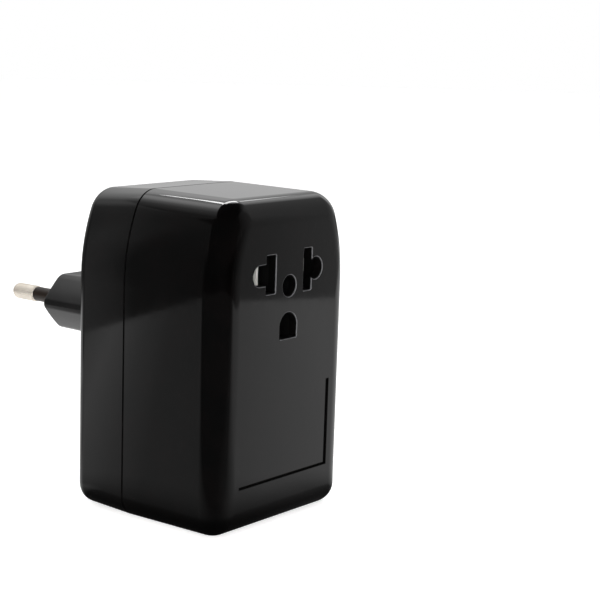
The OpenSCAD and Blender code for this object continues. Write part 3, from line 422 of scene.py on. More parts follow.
RIM_ANGLES = [math.radians(angle) for angle in (0, 15, 30, 45, 60, 75)]
RIM_REACH = 0.5


def cutter(name, outline, surface, depth, rim):
    """Solid that cuts a hole from a flat face at y = surface, with a rounded rim. Depth points inwards.

    The outline is a function that gives the hole's points, grown by a distance. The rim runs on past the
    surface in a straight line, so that the cut is clean."""
    side = 1 if depth > 0 else -1
    rings = [across(outline(0), surface + depth)]
    for angle in RIM_ANGLES:
        y = surface + side * rim * (1 - math.sin(angle))
        rings.append(across(outline(rim * (1 - math.cos(angle))), y))
    last = RIM_ANGLES[-1]
    reach = RIM_REACH * rim / math.cos(last)
    out = rim * (1 - math.cos(last)) + reach * math.sin(last)
    y = surface + side * (rim * (1 - math.sin(last)) - reach * math.cos(last))
    return loft(name, rings + [across(outline(out), y)])


def lathe(name, profile, steps=64):
    """Solid turned about Z from (radius, height) pairs."""
    return loft(name, [[(x, y, h) for x, y in circle(r, steps=steps)] for r, h in profile])


def joined(piece, others, operation):
    """Piece after a boolean operation with each of the other solids, which are then gone."""
    for other in others:
        change = piece.modifiers.new(operation, "BOOLEAN")
        change.operation = operation
        change.solver = "EXACT"
        change.object = other
        mesh = final_mesh(piece)
        piece.modifiers.clear()
        piece.data = mesh
        bpy.data.objects.remove(other)
    return piece


def cut(piece, *others):
    return joined(piece, others, "DIFFERENCE")


def add(piece, *others):
    return joined(piece, others, "UNION")


SHARP_ANGLE = math.radians(33)
FACE_WEIGHT = 100


def done(piece, body, nodes, slot, **marks):
    """Scales a piece to metres, shades it smooth between sharp edges and ties it to the frame.

    Each mark is a function of a face's middle and normal, kept as a share that the finish reads."""
    mesh = piece.data
    for name, rule in marks.items():
        shares = mesh.attributes.new(name, "FLOAT", "FACE").data
        for face in mesh.polygons:
            shares[face.index].value = rule(face.center, face.normal)
    mesh.transform(Matrix.Scale(MM, 4))
    mesh.polygons.foreach_set("use_smooth", [True] * len(mesh.polygons))
    mesh.set_sharp_from_angle(angle=SHARP_ANGLE)
    mesh.update()
    normals = piece.modifiers.new("even_shading", "WEIGHTED_NORMAL")
    normals.keep_sharp = True
    normals.weight = FACE_WEIGHT
    mesh.materials.clear()
    mesh.materials.append(finishes[slot])
    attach(piece, body)
    if nodes:
        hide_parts(*nodes)


# Finishes

WHITE = (1, 1, 1, 1)
BLACK = (0, 0, 0, 1)

# Sockets of a mix node by their numbers, because both kinds of it use the same names
MIX_SHARE = 0
LEVEL_A, LEVEL_B, LEVEL_OUT = 2, 3, 0
COLOUR_A, COLOUR_B, COLOUR_OUT = 6, 7, 2

# Angle in radians that a wave texture turns through in a metre, at a scale of 1
WAVE_TURN = 20


def linear(red, green, blue):
    """Colour given as it looks on screen, from 0 to 255, by the sRGB curve."""
    return tuple(
        (c / 12.92 if c <= 0.04045 else ((c + 0.055) / 1.055) ** 2.4)
        for c in (red / 255, green / 255, blue / 255)
    ) + (1,)


def feed(tree, socket, value):
    """Links an input of a node to an output, or gives it a value."""
    if isinstance(value, bpy.types.NodeSocket):
        tree.links.new(value, socket)
    else:
        socket.default_value = value


def new_node(tree, kind, inputs, **settings):
    """New node in a shader's tree, with its settings and with what feeds its inputs."""
    node = tree.nodes.new(kind)
    for name, value in settings.items():
        setattr(node, name, value)
    for socket, value in inputs.items():
        feed(tree, node.inputs[socket], value)
    return node


class Finish:
    """Procedural material that starts from a principled shader and object coordinates in metres."""

    def __init__(self, name):
        self.material = bpy.data.materials.new(name)
        self.material.use_nodes = True
        self.tree = self.material.node_tree
        self.shader = self.tree.nodes["Principled BSDF"]
        self.place = self.node("ShaderNodeTexCoord", {}).outputs["Object"]

    def node(self, kind, inputs, **settings):
        return new_node(self.tree, kind, inputs, **settings)

    def give(self, socket, value):
        """Gives the shader a value that is the same all over, or an output that varies."""
        feed(self.tree, self.shader.inputs[socket], value)

    def given(self, socket):
        """Output that the shader was given."""
        return self.shader.inputs[socket].links[0].from_socket

    def stretched(self, scale):
        """Coordinates scaled along each axis."""
        return self.node("ShaderNodeMapping", {"Vector": self.place, "Scale": scale}).outputs["Vector"]

    def noise(self, scale, detail=3.0, place=None):
        inputs = {"Vector": place or self.place, "Scale": scale, "Detail": detail}
        return self.node("ShaderNodeTexNoise", inputs).outputs["Fac"]

    def bands(self, pitch, axis):
        """Even bands across an axis, one for each pitch in metres."""
        inputs = {"Vector": self.place, "Scale": 2 * math.pi / pitch / WAVE_TURN}
        return self.node("ShaderNodeTexWave", inputs, bands_direction=axis).outputs["Fac"]

    def spread(self, value, low, high, start=0.3, end=0.7):
        """Value that runs from low to high while another runs from start to end."""
        inputs = {"Value": value, "From Min": start, "From Max": end, "To Min": low, "To Max": high}
        return self.node("ShaderNodeMapRange", inputs).outputs["Result"]

    def combined(self, operation, first, second):
        inputs = {0: first, 1: second}
        return self.node("ShaderNodeMath", inputs, operation=operation).outputs["Value"]

    def vector(self, operation, first, second=(0, 0, 0)):
        node = self.node("ShaderNodeVectorMath", {0: first, 1: second}, operation=operation)
        return node.outputs["Value" if operation in ("DOT_PRODUCT", "LENGTH") else "Vector"]

    def along(self, direction):
        """Distance along a direction from the origin."""
        return self.vector("DOT_PRODUCT", self.place, direction)

    def outside(self, middle, half):
        """Distance from a box."""
        side = self.vector("ABSOLUTE", self.vector("SUBTRACT", self.place, middle))
        return self.vector("LENGTH", self.vector("MAXIMUM", self.vector("SUBTRACT", side, half)))

    def ramp(self, value, stops):
        """Level that runs through stops of (value, level)."""
        first, last = stops[0][0], stops[-1][0]
        node = self.node("ShaderNodeValToRGB", {"Fac": self.spread(value, 0, 1, first, last)})
        marks = node.color_ramp.elements
        for place, _ in stops[1:-1]:
            marks.new((place - first) / (last - first))
        for stop, (_, level) in zip(marks, stops):
            stop.color = (level, level, level, 1)
        return node.outputs["Color"]

    def blended(self, share, low, high):
        """Level that goes from low to high by a share."""
        inputs = {MIX_SHARE: share, LEVEL_A: low, LEVEL_B: high}
        return self.node("ShaderNodeMix", inputs).outputs[LEVEL_OUT]

    def colour(self, value, first, second, start=0.35, end=0.65):
        """Colour that goes from the first to the second as a value runs from start to end."""
        node = self.node("ShaderNodeValToRGB", {"Fac": value})
        for stop, place, shade in zip(node.color_ramp.elements, (start, end), (first, second)):
            stop.position = place
            stop.color = shade
        self.give("Base Color", node.outputs["Color"])

    def share(self, name):
        """Share that a face was marked with, 0 where it has no mark."""
        return self.node("ShaderNodeAttribute", {}, attribute_name=name).outputs["Fac"]

    def toned(self, share, tone):
        """Changes the colour towards a tone by a share."""
        inputs = {MIX_SHARE: share, COLOUR_A: self.given("Base Color"), COLOUR_B: tone}
        node = self.node("ShaderNodeMix", inputs, data_type="RGBA")
        self.give("Base Color", node.outputs[COLOUR_OUT])

    def rough(self, value, low, high):
        self.give("Roughness", self.spread(value, low, high))

    def dulled(self, share, roughness):
        """Changes the roughness towards a value by a share."""
        self.give("Roughness", self.blended(share, self.given("Roughness"), roughness))

    def bump(self, value, height):
        node = self.node("ShaderNodeBump", {"Distance": height, "Height": value})
        self.give("Normal", node.outputs["Normal"])


# Tone and roughness of the painted highlight on the rims of openings; the marks take a share of them too
HIGHLIGHT_TONE = linear(88, 88, 90)
EDGE_ROUGH = 0.4
DEEP_ROUGH = 0.95
# Scales of the noise that varies colour and gloss, and the detail of the finest grain and marks
PLASTIC_CLOUDS = 140
PLASTIC_GLOSS = 320
METAL_CLOUDS = 240
WOUND_GLOSS = 900
GRAIN_DETAIL = 2
MARK_DETAIL = 4
# Where across a band its colour changes, and its height as a share of its pitch
BAND_RANGE = (0.1, 0.8)
BAND_HEIGHT_SHARE = 1 / 6


def moulded(name, first, second, rough, grain=2500.0, grain_height=4e-6):
    """Moulded plastic: slight clouding in colour and gloss, a fine grain, a painted highlight that makes
    the rims of openings pale, paler marks, and dull recesses.
    """
    finish = Finish(name)
    finish.colour(finish.noise(PLASTIC_CLOUDS), linear(*first), linear(*second))
    # Painted highlight: the rims of openings go towards a pale grey and a duller gloss
    finish.toned(finish.share("worn_edge"), HIGHLIGHT_TONE)
    finish.rough(finish.noise(PLASTIC_GLOSS), *rough)
    finish.dulled(finish.share("worn_edge"), EDGE_ROUGH)
    finish.dulled(finish.share("deep"), DEEP_ROUGH)
    finish.bump(finish.noise(grain, GRAIN_DETAIL), grain_height)
    return finish.material


def metal(name, first, second, rough, scale=(900, 900, 900), bump_height=3e-6, metallic=1.0):
    """Bare or plated metal: cloudy tone and fine working marks, stretched by scale."""
    finish = Finish(name)
    finish.give("Metallic", metallic)
    finish.colour(finish.noise(METAL_CLOUDS), linear(*first), linear(*second))
    marks = finish.noise(1, MARK_DETAIL, finish.stretched(scale))
    finish.rough(marks, *rough)
    finish.bump(marks, bump_height)
    return finish.material


def wound(name, first, second, rough, pitch, axis, metallic):
    """Bands of wire or sheet edges, one for each pitch."""
    finish = Finish(name)
    finish.give("Metallic", metallic)
    rows = finish.bands(pitch, axis)
    finish.colour(rows, linear(*first), linear(*second), *BAND_RANGE)
    finish.rough(finish.noise(WOUND_GLOSS), *rough)
    finish.bump(rows, pitch * BAND_HEIGHT_SHARE)
    return finish.material


LEAD_ROUGH = (0.38, 0.50)
# Two colours and the roughness from and to, then the grain's scale and height if they aren't the usual ones
MOULDED = {
    "housing_black": ((2, 2, 2), (4, 3, 3), (0.04, 0.07), 900, 1e-6),
    "plug_black": ((8, 8, 8), (12, 11, 11), (0.07, 0.12), 1400, 2e-6),
    "sleeve_black": ((24, 15, 9), (34, 23, 15), (0.34, 0.46)),
    "carrier_black": ((4, 4, 4), (8, 8, 8), (0.70, 0.82)),
    "former_plastic": ((214, 204, 176), (226, 217, 192), (0.42, 0.55)),
    "tape_yellow": ((206, 160, 34), (222, 180, 58), (0.26, 0.38)),
    "base_phenolic": ((98, 60, 34), (128, 84, 50), (0.45, 0.60)),
    "knob_grey": ((30, 29, 29), (38, 37, 37), (0.26, 0.36), 2600, 6e-6),
    "lead_brown": ((84, 50, 28), (96, 60, 36), LEAD_ROUGH),
    "lead_blue": ((34, 70, 140), (44, 84, 156), LEAD_ROUGH),
    "lead_red": ((156, 34, 30), (172, 46, 40), LEAD_ROUGH),
    "lead_yellow": ((208, 176, 44), (220, 190, 64), LEAD_ROUGH),
    "lead_black": ((24, 24, 25), (34, 34, 35), LEAD_ROUGH),
    "lead_white": ((214, 212, 206), (226, 224, 220), LEAD_ROUGH),
}
# Two colours and the roughness, then the marks' scale along each axis, their height and the metal's share
METALS = {
    "pin_nickel": ((234, 224, 210), (243, 234, 221), (0.24, 0.34), (900, 60, 900), 4e-7, 0.62),
    "contact_nickel": ((230, 227, 220), (242, 240, 235), (0.32, 0.46), (400, 400, 3000), 3e-6, 0.2),
    "screw_steel": ((120, 121, 124), (168, 169, 172), (0.28, 0.45)),
    "strap_steel": ((168, 170, 174), (196, 198, 200), (0.30, 0.48), (2200, 500, 500)),
    "fuse_case": ((190, 184, 170), (208, 203, 190), (0.30, 0.44)),
    "bridge_bronze": ((196, 140, 84), (214, 164, 108), (0.26, 0.40)),
}
# Two colours and the roughness, then the pitch in metres, the axis across the bands and the metal's share
WOUND = {
    "core_steel": ((58, 58, 62), (124, 124, 130), (0.40, 0.60), 0.0005, "Y", 0.9),
    "winding_copper": ((120, 56, 22), (206, 116, 60), (0.26, 0.40), 0.00035, "X", 0.8),
}

finishes = {}
for recipe, table in ((moulded, MOULDED), (metal, METALS), (wound, WOUND)):
    for name, values in table.items():
        finishes[name] = recipe(name, *values)

for part in frame["record"]["subparts"]:
    for holder in frame["nodes"][part["node"]].material_slots:
        holder.material = finishes[part["material_slot"]]


# Rings of both shells

def drafted(y):
    """How far the foot of the outline rises and its top drops between the seam and a shell's end."""
    if y < SEAM_Y:
        return 0, FRONT_DRAFT * (SEAM_Y - y) / (SEAM_Y - FRONT_Y)
    rise = BACK_DRAFT * (y - SEAM_Y) / (BACK_Y - SEAM_Y)
    return rise, rise


def edge_rings(face_y, edge_r, inset):
    """Rings round the edge of a shell, from its end face towards the seam."""
    side = 1 if face_y < SEAM_Y else -1
    edge = max(edge_r - inset, LEAST_R)
    rings = []
    for i in range(EDGE_STEPS + 1):
        angle = math.pi / 2 * (1 - i / EDGE_STEPS)
        y = face_y + side * (inset + edge * (1 - math.sin(angle)))
        rings.append(across(housing_outline(inset + edge * (1 - math.cos(angle)), *drafted(y)), y))
    return rings


def level_ring(y, inset):
    """Ring of the outline at the seam, which has no draft."""
    return across(housing_outline(inset, 0, 0), y)


# Front shell

def front_rings(inset):
    return edge_rings(FRONT_Y, FRONT_EDGE_R, inset)


def left_slot():
    inner, outer = -SLOT_X, -SLOT_X - LEFT_SLOT_W
    half = LEFT_SLOT_H / 2
    r = HOLE_CORNER
    end = [(x, z, 0) for x, z in arc(-LEFT_ROUND_X, 0, LEFT_ROUND_R, 90, 270, LEFT_ROUND_STEPS)]
    top = [(inner, -half, r), (inner, half, r), (outer, half, r), (outer, LEFT_ROUND_R, 0)]
    points = rounded(top + end + [(outer, -LEFT_ROUND_R, 0), (outer, -half, r)])
    return [(x, SOCKET_Z + z) for x, z in points]


def right_slot(grow):
    inner, outer = SLOT_X - grow, SLOT_X + RIGHT_SLOT_W + grow
    half = RIGHT_SLOT_H / 2 + grow
    r = HOLE_CORNER + grow
    round_r = RIGHT_ROUND_R + grow
    meet = math.degrees(math.acos((outer - RIGHT_ROUND_X) / round_r))
    end = [(x, z, 0) for x, z in arc(RIGHT_ROUND_X, 0, round_r, -meet, meet, RIGHT_ROUND_STEPS)]
    points = rounded([(inner, half, r), (inner, -half, r), (outer, -half, r)] + end + [(outer, half, r)])
    return [(x, SOCKET_Z + z) for x, z in points]


def arched_hole():
    r = GROUND_W / 2
    low = GROUND_Z - GROUND_H / 2
    top = arc(0, GROUND_Z + GROUND_H / 2 - r, r, 0, 180, ARCH_STEPS)
    return rounded([(-r, low, HOLE_CORNER), (r, low, HOLE_CORNER)] + [(x, z, 0) for x, z in top])


def groove():
    inner = GROOVE_X - GROOVE_BAR_W
    foot = GROOVE_Z + GROOVE_FOOT_W
    return [
        (-GROOVE_X, GROOVE_Z), (GROOVE_X, GROOVE_Z), (GROOVE_X, GROOVE_Z + GROOVE_H),
        (inner, GROOVE_Z + GROOVE_H), (inner, foot), (-GROOVE_X, foot),
    ]


# Least share of Y in the normal of a flat face, of the seam's slope and of a rounded edge
FLAT_SHARE = 0.95
SEAM_SHARE = 0.3
EDGE_SHARE = 0.1


def hole_edge(middle, normal, surface, rim):
    return abs(middle.y - surface) < rim and abs(normal.y) < FLAT_SHARE


def in_seam(middle, normal):
    return abs(middle.y - SEAM_Y) < SEAM_CHAMFER and SEAM_SHARE < abs(normal.y)


def front_rim_highlight(middle, normal):
    """True on the rims of the socket's openings, above the groove, which get a painted highlight."""
    return middle.z > GROOVE_Z + GROOVE_H + PAST and hole_edge(middle, normal, FRONT_Y, HOLE_RIM)


def front_deep(middle, normal):
    return in_hole(middle) or in_seam(middle, normal)


def in_hole(middle):
    """True on the walls of the socket's openings and in the groove."""
    in_face = abs(middle.x) < GROOVE_X + OVERLAP and GROOVE_Z < middle.z < SOCKET_Z + RIGHT_SLOT_H
    return in_face and FRONT_Y + GROOVE_RIM < middle.y < FRONT_Y + WALL


def front_posts(shell):
    """Posts for the screws of the housing, with webs to the wall, and for those of the carrier."""
    screw_end = SEAM_Y + SCREW_SEAT_T - SCREW_LEN
    for place in SCREW_PLACES:
        x, z = place
        reach = (abs(x), HALF_W)
        web = side_bar("web", math.copysign(1, x), reach, (POST_FOOT_Y, RIB_END_Y), about(z, RIB_T))
        inside = loft("inside", front_rings(WALL / 2) + [level_ring(SEAM_Y, WALL / 2)])
        add(shell, joined(web, [inside], "INTERSECT"), rod("post", place, POST_R, POST_FOOT_Y, SEAM_Y))
        cut(shell, rod("hole", place, POST_HOLE_R, screw_end - PAST, SEAM_Y + PAST))
    ear_screw_end = EAR_Y + EAR_T - EAR_SCREW_LEN
    for place in EAR_PLACES:
        add(shell, rod("ear_post", place, EAR_POST_R, POST_FOOT_Y, EAR_Y))
        cut(shell, rod("hole", place, EAR_HOLE_R, ear_screw_end - PAST, EAR_Y + PAST))


def core_ribs(shell, side, run, fin_run):
    """Rib under the core and fin that stops it, on one side, each with its run along Y."""
    add(shell, side_bar("rib", side, about(FLOOR_RIB_X, RIB_T), run, (WALL - OVERLAP, core_low.z)))
    add(shell, side_bar("fin", side, about(FIN_X, RIB_T), fin_run, (FIN_Z, FIN_Z + FIN_H)))


def front_ribs(shell):
    """Ribs that hold the core from below, from the front and from the side."""
    run = (core_low.y, RIB_END_Y)
    reach = (strap_high.x + RIB_GAP, HALF_W - WALL + OVERLAP)
    for side in (-1, 1):
        core_ribs(shell, side, run, (POST_FOOT_Y, core_low.y - RIB_GAP))
        for z in SIDE_RIB_HEIGHTS:
            add(shell, side_bar("rib", side, reach, run, about(z, RIB_T)))


def front_shell():
    rim = [level_ring(SEAM_Y - SEAM_CHAMFER, 0), level_ring(SEAM_Y, SEAM_CHAMFER)]
    shell = loft("front_shell_skin", front_rings(0) + rim)
    cut(shell, loft("hollow", front_rings(WALL) + [level_ring(SEAM_Y + PAST, WALL)]))
    groove_y = SEAM_Y - TONGUE_H - TONGUE_GAP
    cut(shell, loft("rebate", [level_ring(y, WALL / 2) for y in (groove_y, SEAM_Y + PAST)]))
    front_posts(shell)
    front_ribs(shell)
    earth = circle(EARTH_R, 0, EARTH_Z)
    for outline in (growing(left_slot()), right_slot, growing(earth), growing(arched_hole())):
        cut(shell, cutter("hole", outline, FRONT_Y, WALL + PAST, HOLE_RIM))
    cut(shell, cutter("groove", growing(groove()), FRONT_Y, GROOVE_DEPTH, GROOVE_RIM))
    done(shell, "housing", ["front_shell"], "housing_black", worn_edge=front_rim_highlight, deep=front_deep)


# Back shell

def back_rings(inset):
    return edge_rings(BACK_Y, BACK_EDGE_R, inset)


def in_recess(middle, reach):
    return any(math.dist((middle.x, middle.z), place) < reach for place in SCREW_PLACES)


def in_plate(middle, z, w, h, reach):
    return abs(middle.x) < w / 2 + reach and abs(middle.z - z) < h / 2 + reach


# Rims of the screw recesses, the plug's opening and the window, which get a painted highlight
def back_rim_highlight(middle, normal):
    holes = (
        in_recess(middle, RECESS_R + 2 * HOLE_RIM)
        or in_plate(middle, PLUG_Z, FLANGE_W, FLANGE_H, 2 * FLANGE_GAP + HOLE_RIM)
        or in_plate(middle, WINDOW_Z, WINDOW_W, WINDOW_H, WINDOW_RIM + FLANGE_GAP)
    )
    return holes and hole_edge(middle, normal, BACK_Y, WINDOW_RIM)


def back_deep(middle, normal):
    recessed = in_recess(middle, RECESS_R + OVERLAP) and middle.y < BACK_Y - HOLE_RIM
    return recessed or in_seam(middle, normal)


def tongue():
    """Tongue that reaches into the front shell."""
    outside = WALL / 2 + TONGUE_GAP
    ring = loft("tongue", [level_ring(y, outside) for y in (SEAM_Y - TONGUE_H, SEAM_Y + PAST)])
    ends = (SEAM_Y - TONGUE_H - PAST, SEAM_Y + 2 * PAST)
    return cut(ring, loft("room", [level_ring(y, WALL + OVERLAP) for y in ends]))


def back_ribs(shell):
    """Ribs that hold the core from below and from behind."""
    fin_run = (core_high.y + RIB_GAP, BACK_Y - WALL + OVERLAP)
    for side in (-1, 1):
        core_ribs(shell, side, (SEAM_Y, core_high.y), fin_run)


def stakes(shell, places, r, held_t):
    """Stakes that pass through a plate on the back wall and end in heads."""
    end = BACK_Y - WALL + OVERLAP
    head = BACK_Y - WALL - held_t - STAKE_GAP - STAKE_HEAD_T
    for place in places:
        stake = rod("stake", place, r, head + OVERLAP, end)
        add(shell, add(stake, rod("head", place, r + STAKE_HEAD_OVER, head, head + STAKE_HEAD_T)))


def back_shell():
    rim = [level_ring(SEAM_Y + SEAM_CHAMFER, 0), level_ring(SEAM_Y, SEAM_CHAMFER)]
    shell = loft("back_shell_skin", back_rings(0) + rim)
    cut(shell, loft("hollow", back_rings(WALL) + [level_ring(SEAM_Y - PAST, WALL)]))
    boss_end = BACK_Y - WALL / 2
    add(shell, *[rod("boss", p, RECESS_R + RECESS_WALL, SEAM_Y + OVERLAP, boss_end) for p in SCREW_PLACES])
    core_x = strap_high.x + RIB_GAP
    core_y = (SEAM_Y - PAST, core_high.y + RIB_GAP)
    cut(shell, bar("core_room", (-core_x, core_x), core_y, (core_low.z, strap_high.z)))
    add(shell, tongue())
    back_ribs(shell)
    seat = SEAM_Y + SCREW_SEAT_T - BACK_Y
    for place in SCREW_PLACES:
        cut(shell, cutter("recess", growing(circle(RECESS_R, *place)), BACK_Y, seat, HOLE_RIM))
        cut(shell, rod("screw_hole", place, SCREW_HOLE_R, SEAM_Y - PAST, SEAM_Y + SCREW_SEAT_T + PAST))
    wide, high = FLANGE_W + 2 * FLANGE_GAP, FLANGE_H + 2 * FLANGE_GAP
    opening = rectangle(wide, high, FLANGE_R + FLANGE_GAP, 0, PLUG_Z, FLANGE_STEPS)
    window = rectangle(WINDOW_W, WINDOW_H, WINDOW_CORNER, 0, WINDOW_Z)
    cut(shell, cutter("opening", growing(opening), BACK_Y, -WALL - PAST, HOLE_RIM))
    cut(shell, cutter("window", growing(window), BACK_Y, -WALL - PAST, WINDOW_RIM))
    stakes(shell, LIP_STAKES, LIP_STAKE_R, LIP_T)
    stakes(shell, SWITCH_STAKES, SWITCH_STAKE_R, SWITCH_PLATE_T)
    done(shell, "housing", ["back_shell"], "housing_black", worn_edge=back_rim_highlight, deep=back_deep)


# Plug

def six_sided():
    """Outline of the plug's face: two corners at its sides and four at the ends of its flats."""
    high = PLUG_FACE_H / 2 - PLUG_CORNER_R
    wide = PLUG_FACE_W / 2 - PLUG_TIP_R
    flat = PLUG_FLAT / 2
    slope = math.atan2(high, flat - wide)
    facet = math.degrees(slope - math.acos((PLUG_TIP_R - PLUG_CORNER_R) / math.hypot(flat - wide, high)))
    side = arc(wide, 0, PLUG_TIP_R, -facet, facet, PLUG_TIP_STEPS)
    top = arc(flat, high, PLUG_CORNER_R, facet, 90, PLUG_CORNER_STEPS)
    upper = bulged(side[-1], top[0], PLUG_BULGE) + top
    half = [(x, -z) for x, z in reversed(upper)] + side + upper
    return [(x, PLUG_Z + z) for x, z in half + [(-x, -z) for x, z in half]]


def bulged(start, end, rise, steps=6):
    """Points between two points, lifted to the right of their line by up to a rise."""
    start, end = Vector(start), Vector(end)
    right = (end - start).normalized()
    right = Vector((right.y, -right.x))
    shares = [i / steps for i in range(1, steps)]
    return [tuple(start.lerp(end, s) + right * (4 * rise * s * (1 - s))) for s in shares]


def on_pin(piece, side):
    """Moves a solid drawn along Z so that it runs out along a pin from the plug's face."""
    start = Matrix.Translation((side * PIN_PITCH / 2, FACE_Y, PLUG_Z))
    lean = Matrix.Rotation(side * PIN_LEAN, 4, "Z")
    piece.data.transform(start @ lean @ Matrix.Rotation(-math.pi / 2, 4, "X"))
    return piece


def rounded_step(r, height, edge_r, steps=4):
    """Profile points of a turned step whose upper edge is rounded."""
    angles = [math.pi / 2 * i / steps for i in range(steps + 1)]
    return [(r - edge_r * (1 - math.cos(a)), height - edge_r * (1 - math.sin(a))) for a in angles]


def collar(side):
    """Stepped ring round the foot of a pin."""
    profile = [(COLLAR_R, -PLUG_EDGE_R)]
    for i in range(COLLAR_STEPS):
        profile += rounded_step(COLLAR_R - i * COLLAR_FALL, COLLAR_H * (i + 1), COLLAR_EDGE_R)
        profile.append((COLLAR_R - (i + 1) * COLLAR_FALL, COLLAR_H * (i + 1)))
    return on_pin(lathe("collar", profile[:-1]), side)


def pin_hole(side):
    """Hole for a pin, through the plug and its collar."""
    r = PIN_CORE_R + PIN_GAP
    return on_pin(lathe("pin_hole", [(r, LIP_Y - FACE_Y - PAST), (r, PIN_LEN)]), side)


# Rounded edge of the plug's flange, which gets a painted highlight
def flange_rim_highlight(middle, normal):
    return BACK_Y < middle.y < BACK_Y + FLANGE_PROUD and EDGE_SHARE < abs(normal.y) < FLAT_SHARE


def plug_body():
    flange = rectangle(FLANGE_W, FLANGE_H, FLANGE_R, 0, PLUG_Z, FLANGE_STEPS)
    body = prism("plug_body_skin", flange, LIP_Y, BACK_Y + FLANGE_PROUD, FLANGE_EDGE_R)
    lip = rectangle(LIP_W, LIP_H, LIP_END, 0, PLUG_Z)
    add(body, prism("lip", lip, LIP_Y - OVERLAP, LIP_Y + LIP_T))
    for place in LIP_STAKES:
        cut(body, rod("stake_hole", place, LIP_STAKE_R + STAKE_GAP, LIP_Y - PAST, LIP_Y + LIP_T + PAST))
    add(body, prism("prism", six_sided(), BACK_Y - WALL / 2, FACE_Y, PLUG_EDGE_R, PLUG_DRAFT))
    for side in (-1, 1):
        add(body, collar(side))
        cut(body, pin_hole(side))
    done(body, "housing", ["plug_body"], "plug_black", worn_edge=flange_rim_highlight)


# Pins and sleeves

def pin(side, node):
    """Pin with a bare tip, a shoulder behind the plug, and a flat lug for its lead."""
    stop = STOP_Y - FACE_Y
    tip = PIN_LEN - TIP_LEN
    tail = [(PIN_CORE_R, LUG_Y - FACE_Y), (PIN_CORE_R, stop - STOP_T)]
    shoulder = [(STOP_R, stop - STOP_T), (STOP_R, stop)]
    shaft = [(PIN_CORE_R, stop), (PIN_CORE_R, tip), (PIN_R - TIP_RIM, tip), (PIN_R, tip + TIP_RIM)]
    end = rounded_step(PIN_R, PIN_LEN, TIP_EDGE_R, TIP_STEPS)
    piece = on_pin(lathe(node + "_turned", tail + shoulder + shaft + end), side)
    lug_run = (LUG_Y - LUG_LEN, LUG_Y + PAST)
    add(piece, bar("lug", about(side * LUG_X, LUG_W), lug_run, about(PLUG_Z, LUG_T)))
    done(piece, "housing", [node], "pin_nickel")


def sleeve(side, node):
    """Sleeve on a pin, from its collar to its bare tip."""
    low = COLLAR_H * COLLAR_STEPS
    high = PIN_LEN - TIP_LEN
    inner = PIN_CORE_R + PIN_GAP
    profile = [(inner, low), (SLEEVE_R, low)] + rounded_step(SLEEVE_R, high, SLEEVE_EDGE_R)
    piece = lathe(node + "_turned", profile)
    cut(piece, lathe("bore", [(inner, low - PAST), (inner, high + PAST)]))
    done(on_pin(piece, side), "housing", [node], "sleeve_black")


front_shell()
back_shell()
plug_body()
for side, name in ((1, "live"), (-1, "neutral")):
    pin(side, "plug_pin_" + name)
    sleeve(side, "pin_sleeve_" + name)


# Knob of the selector, on the block that slides behind the window

def knob_outline():
    """Section of the knob across Z, as (x, y): three ribs on a flat base."""
    low, high = about(SLIDER_X, KNOB_W)
    base, top = slider_low.y + SLIDER_T - OVERLAP, slider_high.y
    between = top - KNOB_RIB_H
    wide = high - KNOB_WIDE_RIB
    mid_high = wide - KNOB_GROOVE
    mid_low = mid_high - KNOB_MID_RIB
    narrow = low + KNOB_NARROW_RIB
    r = KNOB_EDGE_R
    return rounded([
        (low, base, 0), (high, base, 0), (high, top, r), (wide, top, r), (wide, between, r),
        (mid_high, between, r), (mid_high, top, r), (mid_low, top, r), (mid_low, between, r),
        (narrow, between, r), (narrow, top, r), (low, top, r),
    ], KNOB_EDGE_STEPS)


def knob():
    """Ribbed knob on its block, which has holes for the stems of the bridge contacts."""
    outline = knob_outline()
    low, high = about(WINDOW_Z, KNOB_H)
    levels = [(low, KNOB_EDGE_R), (low + KNOB_EDGE_R, 0), (high - KNOB_EDGE_R, 0), (high, KNOB_EDGE_R)]
    rings = [[(x, y, z) for x, y in grown(outline, -inset)] for z, inset in levels]
    piece = loft("switch_slider_knob", rings)
    size = slider_high - slider_low
    block = rectangle(size.x, size.z, SLIDER_EDGE_R, SLIDER_X, WINDOW_Z)
    add(piece, prism("block", block, slider_low.y, slider_low.y + SLIDER_T))
    row = (bridge_high.z - bridge_low.z - BRIDGE_H) / 2
    for z in (WINDOW_Z - row, WINDOW_Z + row):
        hole = rectangle(STEM_HOLE_W, STEM_HOLE_H, LEAST_R, SLIDER_X, z)
        cut(piece, prism("stem_hole", hole, slider_low.y - PAST, bridge_high.y + OVERLAP))
    done(piece, "selector", ["switch_slider"], "knob_grey")


knob()


# Marks beside the selector window: the two voltages, slightly raised

def mark(text, x):
    """Raised characters on the back wall, read from behind."""
    curve = bpy.data.curves.new("mark_" + text, "FONT")
    curve.body = text
    curve.align_x = "CENTER"
    curve.align_y = "CENTER"
    curve.size = MARK_H / CAP_SHARE
    curve.extrude = MARK_T
    curve.bevel_depth = MARK_BEVEL
    lettering = placed("mark_" + text, curve)
    mesh = final_mesh(lettering)
    bpy.data.objects.remove(lettering)
    piece = placed("voltage_mark_" + text, mesh)
    turned = Matrix.Rotation(math.pi, 4, "Z") @ Matrix.Rotation(math.pi / 2, 4, "X")
    mesh.transform(Matrix.Translation((x, BACK_Y, WINDOW_Z)) @ turned)
    # The marks take a fixed share of the pale grey tone and duller gloss, so they look lighter than the
    # wall
    done(piece, "housing", [], "housing_black", worn_edge=lambda middle, normal: MARK_PALE)


mark("110V", MARK_X)
mark("220V", -MARK_X)


# Camera, at the photograph's angle

VIEW_TARGET = Vector((0, 2.5, 38.25)) * MM
VIEW_AZIMUTH = math.radians(-50.43)
VIEW_ELEVATION = math.radians(11.27)
VIEW_ROLL = math.radians(1.37)
VIEW_DISTANCE = 382.87 * MM
SENSOR = 36
LENS = 97.19
SHIFT = (0.1332, 0.0827)
CLIP_START = 0.01

